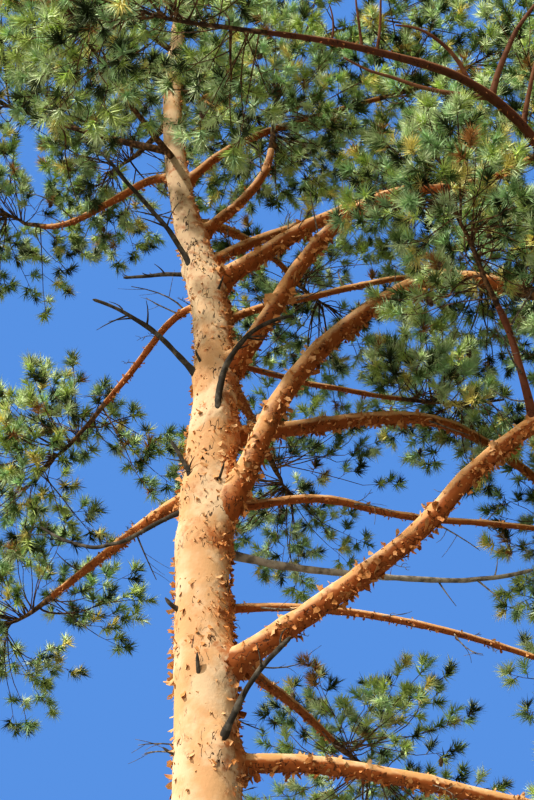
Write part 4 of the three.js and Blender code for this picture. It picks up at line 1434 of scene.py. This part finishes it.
@dataclass
class Foliage:
    """All masses of foliage: stems, twigs, needles and cones, grown on from the limbs."""

    masses: Sequence[Mass]
    room: Room
    finer: Growth = Growth(sprays=84, twigs=62, tries=460, spacing=0.16, size=0.52, seed_step=1000, stout=9.0,
                           first=0.9, tilt_spread=110.0)
    branchlets: int = 3
    pair_count: int = 400000
    pair_angle: float = math.radians(30)
    same_tint: float = 0.35
    brush: float = 0.62
    needle_length: tuple[float, float] = (46.0, 70.0)
    needle_half_width: float = 2.7
    cone_count: int = 70
    cone_length: tuple[float, float] = (34.0, 50.0)
    cone_slimness: float = 0.27
    ROOM_SHARE: ClassVar[float] = 1.15
    ROOM_MARGIN: ClassVar[float] = 60.0
    END_WALL_GAP: ClassVar[float] = 8.0
    END_LIMB_GAP: ClassVar[float] = 10.0
    MIDDLE_WALL_GAP: ClassVar[float] = 3.0
    MIDDLE_LIMB_GAP: ClassVar[float] = 6.0
    LEAST_PAIRS: ClassVar[int] = 4
    QUICK_SHARE: ClassVar[float] = 0.4

    def room_of(self, mass: Mass) -> Room:
        """Gives what is near a mass, its own stem apart."""
        return self.room.near(mass.middle, mass.reach * self.ROOM_SHARE + self.ROOM_MARGIN, mass.name)

    def grow(self) -> None:
        """Grows each mass by the source's round, then by a finer one in the same space."""
        for mass in self.masses:
            room = self.room_of(mass)
            mass.grow(room, Growth())
            mass.grow(room, self.finer)

    def sprays(self) -> Iterator[tuple[Mass, Spray]]:
        """Goes through every spray of every mass."""
        for mass in self.masses:
            for spray in mass.sprays:
                yield mass, spray

    def make(self, rng: np.random.Generator) -> None:
        """Builds the stems and twigs, then the needles by tint, then the cones."""
        self.grow()
        nodes = ["foliage_" + mass.name for mass in self.masses]
        sprays = list(self.sprays())
        root, neck, onward, across, length, stout, wood_length = (
            np.array([getattr(spray, part) for _, spray in sprays])
            for part in ("root", "neck", "onward", "across", "length", "stout", "wood"))
        wooded = wood_length > 0
        wooded_length = wood_length[wooded, None]
        count = len(sprays)
        tip = neck + onward * length[:, None]
        sag = rng.normal(0, 0.035, (count, 3)) * length[:, None]
        axes = bent(neck, tip, sag, 7)
        wood = self.stems()
        twig = BareWood("Twig_bark", (0.075, 0.042, 0.022), (0.34, 0.19, 0.085), (0.42, 0.66), 40)
        crook = rng.normal(0, 0.075, (wooded.sum(), 3)) * wooded_length
        bare = bent(root[wooded], neck[wooded], crook, 6)
        taper = np.linspace(0.36, 0.2, 6) * stout[wooded][:, None]
        wood.append(rods(bare, taper, 6))
        wood.append(rods(axes[:, ::2], np.linspace(0.2, 0.1, 4) * stout[:, None], 4))
        Skin.joined(wood).make("Twigs_stout", twig, Slot.BOUGH, nodes)
        starts, ends, lift, owner = self.branchlets_of(axes, onward, across, length, rng)
        keep = self.inside(sprays, starts, ends, owner)
        starts, ends, lift, owner = starts[keep], ends[keep], lift[keep], owner[keep]
        fine = bent(starts, ends, lift, 3)
        thick = np.array([2.2, 1.7, 1.0]) * np.ones((len(fine), 1))
        curved = np.any(lift != 0, axis=1)
        twigs = [rods(fine[curved], thick[curved], 3), rods(fine[~curved, ::2], thick[~curved, ::2], 3)]
        Skin.joined(twigs).make("Twigs_fine", twig, Slot.BOUGH, nodes)
        tips = axes[:, 4:]
        lines = np.concatenate([fine, tips])
        owner = np.concatenate([owner, np.arange(count)])
        self.make_needles(lines, owner, count, nodes, rng)
        self.make_cones(fine, nodes, rng)

    def stems(self) -> list[Skin]:
        """Builds each mass's stem, round and a little crooked."""
        made = []
        for mass in self.masses:
            points, _, radii, _ = mass.stem
            share = np.linspace(0, 1, 15)
            line = along_line(points, share)
            line[1:-1] = (line[:-2] + line[2:] + 2 * line[1:-1]) / 4
            line = line + wander(line, 130, 91) * (9 * np.sin(math.pi * share))[:, None]
            radius = along(radii, share) * np.linspace(1, 0.6, len(share))
            made.append(rods(line[None], radius[None], 9))
        return made

    def branchlets_of(self, axes: Array, onward: Array, across: Array, length: Array,
                      rng: np.random.Generator) -> tuple[Array, Array, Array, Array]:
        """Sets finer twigs along both sides of each spray, and a finer one on each of those.

        Args:
            axes: The sprays' centre lines.
            onward: Their directions.
            across: The direction across their flat side.
            length: Their lengths.
            rng: Where the chance comes from.

        Returns:
            Where the twigs start and end, how their middles are moved, and each one's spray.
        """
        count, twigs = len(axes), self.branchlets
        over = np.cross(onward, across)
        t = 0.08 + 0.84 * (np.arange(twigs) + rng.uniform(0.1, 0.9, (count, twigs))) / twigs
        place = t * (axes.shape[1] - 1)
        low = np.minimum(place.astype(int), axes.shape[1] - 2)
        rows = np.arange(count)[:, None]
        start = axes[rows, low] + (axes[rows, low + 1] - axes[rows, low]) * (place - low)[..., None]
        side = np.where(np.arange(twigs) % 2, 1, -1) * np.ones((count, 1))
        roll = rng.uniform(-1.25, 1.25, (count, twigs))
        angle = np.radians(56 - 22 * t + rng.uniform(-9, 9, t.shape))
        out = (across[:, None] * (side * np.cos(roll))[..., None] + over[:, None] * np.sin(roll)[..., None])
        way = unit(onward[:, None] * np.cos(angle)[..., None] + out * np.sin(angle)[..., None] + UP * 0.16)
        reach = length[:, None] * (0.44 - 0.27 * t) * rng.uniform(0.75, 1.15, t.shape)
        end = start + way * reach[..., None]
        lift = UP * -0.05 * reach[..., None]
        part = rng.uniform(0.35, 0.65, (count, twigs, 1))
        side_turn = np.where(rng.uniform(size=part.shape) > 0.5, 1, -1) * rng.uniform(0.5, 1.0, part.shape)
        side_out = unit(np.cross(way, over[:, None] + rng.normal(0, 0.7, way.shape)))
        side_start = start + (end - start) * part
        side_way = unit(way + side_out * side_turn + UP * 0.2)
        side_end = side_start + side_way * reach[..., None] * rng.uniform(0.45, 0.7, part.shape)
        owner = (np.arange(count)[:, None] * np.ones((1, twigs), int)).ravel()
        return (
            np.concatenate([start.reshape(-1, 3), side_start.reshape(-1, 3)]),
            np.concatenate([end.reshape(-1, 3), side_end.reshape(-1, 3)]),
            np.concatenate([lift.reshape(-1, 3), np.zeros((count * twigs, 3))]),
            np.concatenate([owner, owner]),
        )

    def inside(self, sprays: Sequence[tuple[Mass, Spray]], starts: Array, ends: Array, owner: Array) -> Array:
        """Says which finer twigs stay in their mass's space and clear of all limbs."""
        keep = np.zeros(len(starts), bool)
        mass_of = np.array([self.masses.index(mass) for mass, _ in sprays])[owner]
        for index, mass in enumerate(self.masses):
            mine = np.flatnonzero(mass_of == index)
            room = self.room_of(mass)
            middle = (starts[mine] + ends[mine]) / 2
            good = mass.holds(ends[mine], self.END_WALL_GAP) & mass.holds(middle, self.MIDDLE_WALL_GAP)
            good &= room.clear(ends[mine]) > self.END_LIMB_GAP
            good &= room.clear(middle) > self.MIDDLE_LIMB_GAP
            keep[mine] = good
        return keep

    def make_needles(self, lines: Array, owner: Array, count: int, nodes: Sequence[str],
                     rng: np.random.Generator) -> None:
        """Sets needles round the fine twigs and joins them by tint.

        Needles come in pairs from one sheath: two slim pointed blades that share their foot and
        part by a small angle. A pair leaves its twig at an angle that closes towards the twig's tip.

        Args:
            lines: The needled twigs, as (twigs, 3, 3).
            owner: The spray that each twig is on.
            count: How many sprays there are.
            nodes: The nodes that the needles stand for.
            rng: Where the chance comes from.
        """
        weights = np.array([tint.value[1] for tint in Tint])
        by_spray, by_twig = (rng.choice(len(weights), size, p=weights / weights.sum())
                             for size in (count, len(owner)))
        dealt = np.where(rng.uniform(size=len(owner)) < self.same_tint, by_spray[owner], by_twig)
        span = np.linalg.norm(lines[:, 2] - lines[:, 0], axis=1) + 25
        wanted = self.pair_count * 1
        number = np.maximum((span * wanted / span.sum()).round().astype(int), self.LEAST_PAIRS)
        for index, tint in enumerate(Tint):
            mine = np.flatnonzero(dealt == index)
            twig = np.repeat(mine, number[mine])
            total = len(twig)
            t = 1 - self.brush * rng.uniform(0, 1, total)
            a, b, c = (lines[twig, part] for part in range(3))
            root = (a * ((1 - t) * (1 - 2 * t))[:, None] + b * (4 * t * (1 - t))[:, None]
                    + c * (t * (2 * t - 1))[:, None])
            forward = unit(c - a)
            side = unit(np.cross(forward, UP + 0.01))
            over = np.cross(forward, side)
            turn = rng.uniform(0, 2 * math.pi, total)
            out = side * np.cos(turn)[:, None] + over * np.sin(turn)[:, None]
            angle = np.radians(24 + 52 * (1 - t) / self.brush + rng.uniform(-12, 12, total))
            way = unit(forward * np.cos(angle)[:, None] + out * np.sin(angle)[:, None] + UP * 0.12)
            long = rng.uniform(*self.needle_length, total)[:, None]
            flat = unit(np.cross(way, rng.normal(size=(total, 3))))
            part = np.cross(way, flat) * np.tan(self.pair_angle / 2) * rng.uniform(0.5, 1.5, (total, 1))
            foot = flat * self.needle_half_width * rng.uniform(0.8, 1.2, (total, 1))
            points = np.stack([root - foot, root + foot, root + (way + part) * long,
                               root + (way - part) * long * rng.uniform(0.85, 1, (total, 1))], axis=1)
            one = np.array([[0, 1, 2], [1, 0, 3]])
            faces = (one + np.arange(total)[:, None, None] * 4).reshape(-1, 3)
            label = "Needles_" + tint.name.lower()
            skin = Skin(points.reshape(-1, 3), faces)
            self.split(skin, label, Needles(label, tint.value[0]), nodes)

    @staticmethod
    def split(skin: Skin, label: str, finish: Finish, nodes: Sequence[str], most: int = 190000) -> None:
        """Makes one piece of a skin of needles, or several where it has too many triangles."""
        parts = -(-len(skin.faces) // most)
        cuts = np.linspace(0, len(skin.faces) // 2, parts + 1).astype(int)
        for index in range(parts):
            low, high = cuts[index], cuts[index + 1]
            piece = Skin(skin.points[low * 4:high * 4], skin.faces[low * 2:high * 2] - low * 4)
            piece.make(f"{label}_{index + 1}", finish, Slot.NEEDLES, nodes, rounded=False)

    def make_cones(self, fine: Array, nodes: Sequence[str], rng: np.random.Generator) -> None:
        """Hangs small cones on the fine twigs: an egg shape whose rings swell scale by scale."""
        pick = rng.choice(len(fine), self.cone_count, replace=False)
        base = fine[pick, 1]
        down = unit(rng.normal(0, 0.5, (self.cone_count, 3)) - UP)
        length = rng.uniform(*self.cone_length, (self.cone_count, 1))
        t = np.linspace(0, 1, 9)
        line = base[:, None] + down[:, None] * t[:, None] * length[..., None]
        egg = np.sqrt(np.clip(np.sin(math.pi * (0.06 + 0.9 * t**0.85)), 0, 1))
        egg *= 1 + 0.16 * (np.arange(9) % 2)
        finish = BareWood("Cone_scales", (0.10, 0.055, 0.03), (0.25, 0.17, 0.11), (0.4, 0.6), 120)
        cones = rods(line, egg * length * self.cone_slimness, 8)
        cones.make("Cones", finish, Slot.BOUGH, nodes, rounded=False)


@dataclass
class DryTwigs:
    """Fine dead twigs inside the crown, thin and grey, on the trunk and the boughs."""

    limbs: Sequence[Limb]
    each: int = 7
    on_trunk: int = 26
    trunk_side: tuple[float, float] = (-35.0, 205.0)
    trunk_heights: tuple[float, float] = (4300.0, 8700.0)
    stub_length: tuple[float, float] = (40.0, 330.0)

    def make(self, rng: np.random.Generator) -> None:
        """Builds the twigs with a few forks each, and joins them."""
        starts, ways = [], []
        for limb in self.limbs:
            step = rng.integers(5, limb.STEPS - 1, self.each)
            out = unit(np.cross(limb.directions[step], rng.normal(size=(self.each, 3))))
            starts.append(limb.points[step] + out * (limb.radii[step] * 0.6)[:, None])
            ways.append(unit(out + limb.directions[step] * 0.8 - UP * 0.15))
        height = rng.uniform(*self.trunk_heights, self.on_trunk)
        centre, radius = trunk_at(height)
        out = heading_to(rng.uniform(*self.trunk_side, self.on_trunk), rng.uniform(-10, 40, self.on_trunk))
        starts.append(centre + out * (radius * 0.8)[:, None])
        ways.append(out)
        start, way = np.concatenate(starts), np.concatenate(ways)
        length = np.exp(rng.uniform(*np.log(self.stub_length), (len(start), 1)))
        end = start + way * length
        main = bent(start, end, rng.normal(0, 0.06, (len(start), 3)) * length, 6)
        skins = [rods(main, np.linspace(3.6, 1.4, 6) * np.clip(length / 160, 0.6, 1.4), 5)]
        for ring in (2, 3, 4):
            fork = unit(way + rng.normal(0, 0.75, way.shape))
            reach = length * rng.uniform(0.2, 0.5, (len(start), 1))
            root = main[:, ring]
            skins.append(rods(bent(root, root + fork * reach, rng.normal(0, 4, root.shape), 4),
                              np.linspace(1.7, 0.9, 4) * np.ones((len(start), 1)), 4))
        finish = BareWood("Dry_twigs", (0.10, 0.085, 0.065), (0.32, 0.28, 0.22), (0.4, 0.62), 60)
        nodes = ["bough_" + limb.name for limb in self.limbs]
        Skin.joined(skins).make("Dry_twigs", finish, Slot.DEAD, nodes)


@dataclass(frozen=True)
class Lamp:
    """A far lamp: where it stands, how strong it is, and how wide it looks, in degrees."""

    name: str
    heading: float
    height: float
    strength: float
    spread: float
    colour: Colour

    def hang(self) -> None:
        """Puts the lamp into the scene."""
        sun = bpy.data.lights.new(self.name, "SUN")
        sun.energy, sun.color, sun.angle = self.strength, self.colour, math.radians(self.spread)
        lamp = bpy.data.objects.new(self.name, sun)
        lamp.rotation_euler = (math.radians(90 - self.height), 0, math.radians(self.heading + 90))
        bpy.context.scene.collection.objects.link(lamp)


@dataclass
class Studio:
    """The floor, the lights and the camera."""

    floor_half: float = 7.0
    camera_place: Colour = (0.0, -6.0, 1.6)
    tilt: float = 39.0
    yaw: float = 2.22
    lens: float = 75.0
    sensor: float = 36.0
    lamps: tuple[Lamp, ...] = (
        Lamp("Key_light", 220, 38, 4.7, 2.0, (1.0, 0.94, 0.87)),
        Lamp("Low_fill_light", 238, 7, 1.35, 24, (1.0, 0.92, 0.80)),
    )
    fill: Colour = (0.125, 0.118, 0.112)
    backdrop: Colour = (0.105, 0.27, 0.66)

    def make(self) -> None:
        """Sets out the floor, a warm key light and a low soft one, the surround and the camera."""
        half = self.floor_half
        mesh = bpy.data.meshes.new("Floor")
        corners = [(-half, -half, 0), (half, -half, 0), (half, half, 0), (-half, half, 0)]
        mesh.from_pydata(corners, [], [(0, 1, 2, 3)])
        mesh.materials.append(PaleFloor("Pale_floor").material())
        floor = bpy.data.objects.new("Floor", mesh)
        floor.location.z = -MM
        bpy.context.scene.collection.objects.link(floor)
        for lamp in self.lamps:
            lamp.hang()
        self.make_surround()
        lens = bpy.data.cameras.new("Camera")
        lens.lens, lens.sensor_width, lens.sensor_fit = self.lens, self.sensor, "AUTO"
        lens.clip_end = 200
        camera = bpy.data.objects.new("Camera", lens)
        camera.location = self.camera_place
        camera.rotation_euler = (math.radians(90 + self.tilt), 0, -math.radians(self.yaw))
        bpy.context.scene.collection.objects.link(camera)
        bpy.context.scene.camera = camera

    def make_surround(self) -> None:
        """Lights the tree softly from all sides, before a plain sky-blue backdrop."""
        world = bpy.data.worlds.new("Surround")
        world.use_nodes = True
        nodes, links = world.node_tree.nodes, world.node_tree.links
        seen = nodes.new("ShaderNodeLightPath").outputs["Is Camera Ray"]
        blend = nodes.new("ShaderNodeMix")
        blend.data_type = "RGBA"
        links.new(seen, blend.inputs[0])
        blend.inputs[6].default_value = (*self.fill, 1)
        blend.inputs[7].default_value = (*self.backdrop, 1)
        links.new(blend.outputs[2], nodes["Background"].inputs["Color"])
        bpy.context.scene.world = world
        view = bpy.context.scene.view_settings
        view.view_transform, view.look = "Standard", "Medium High Contrast"


def plant_masses(boughs: Sequence[Limb]) -> list[Mass]:
    """Sets out every mass, on the bough's tip or the trunk that bears it.

    Args:
        boughs: The live boughs.

    Returns:
        The masses, with the walls of their spaces.
    """
    masses = []
    for limb in boughs:
        if limb.reach:
            masses.append(Mass(limb.name, limb.clear_of_tip(), limb.directions[-1], limb.thick[1],
                               limb.reach * Mass.LEAD, limb.reach, len(masses) + 1))
    for plan in TRUNK_SHOOTS:
        root = trunk_at(np.array([float(plan["height"])]))[0][0]
        masses.append(Mass(plan["name"], root, heading_to(plan["heading"], plan["rise"]), plan["thick"],
                           plan["out"], plan["reach"], len(masses) + 1))
    top = trunk_at(np.array([TRUNK_TOP]))[0][0] + UP * Limb.SEAT_GAP
    masses.append(Mass(LEADER["name"], top, heading_to(LEADER["heading"], LEADER["rise"]), LEADER["thick"],
                       LEADER["out"], LEADER["reach"], len(masses) + 1))
    for mass in masses:
        mass.set_walls(masses)
    return masses


def main() -> None:
    """Builds the tree and the studio, and reports each piece."""
    logging.basicConfig(level=logging.INFO, format="%(name)s %(message)s")
    placed: dict[str, Limb] = {}
    for plan in BOUGHS:
        placed[plan["name"]] = Limb.lay_out(plan, placed)
    boughs = list(placed.values())
    dead = [Limb.lay_out(plan, placed) for plan in DEAD_LIMBS]
    side_limbs = [Limb.lay_out(plan | {"beside": BROWN_LIMB}, placed) for plan in SIDE_LIMBS]
    masses = plant_masses(boughs)
    heights = TRUNK_TOP * np.arange(TRUNK_RINGS + 1) / TRUNK_RINGS
    lines = [("trunk", *trunk_at(heights))]
    lines += [("limb", limb.points, limb.radii) for limb in boughs + dead]
    lines += [(mass.name, mass.stem[0], mass.stem[2]) for mass in masses]
    Studio().make()
    Trunk([limb for limb in boughs + dead if not limb.grows_on]).make(np.random.default_rng(1))
    Boughs(boughs, side_limbs).make(np.random.default_rng(2))
    DeadLimbs(dead).make(np.random.default_rng(3))
    DryTwigs(boughs).make(np.random.default_rng(4))
    Foliage(masses, Room(lines)).make(np.random.default_rng(5))
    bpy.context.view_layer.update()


if __name__ == "__main__":
    main()
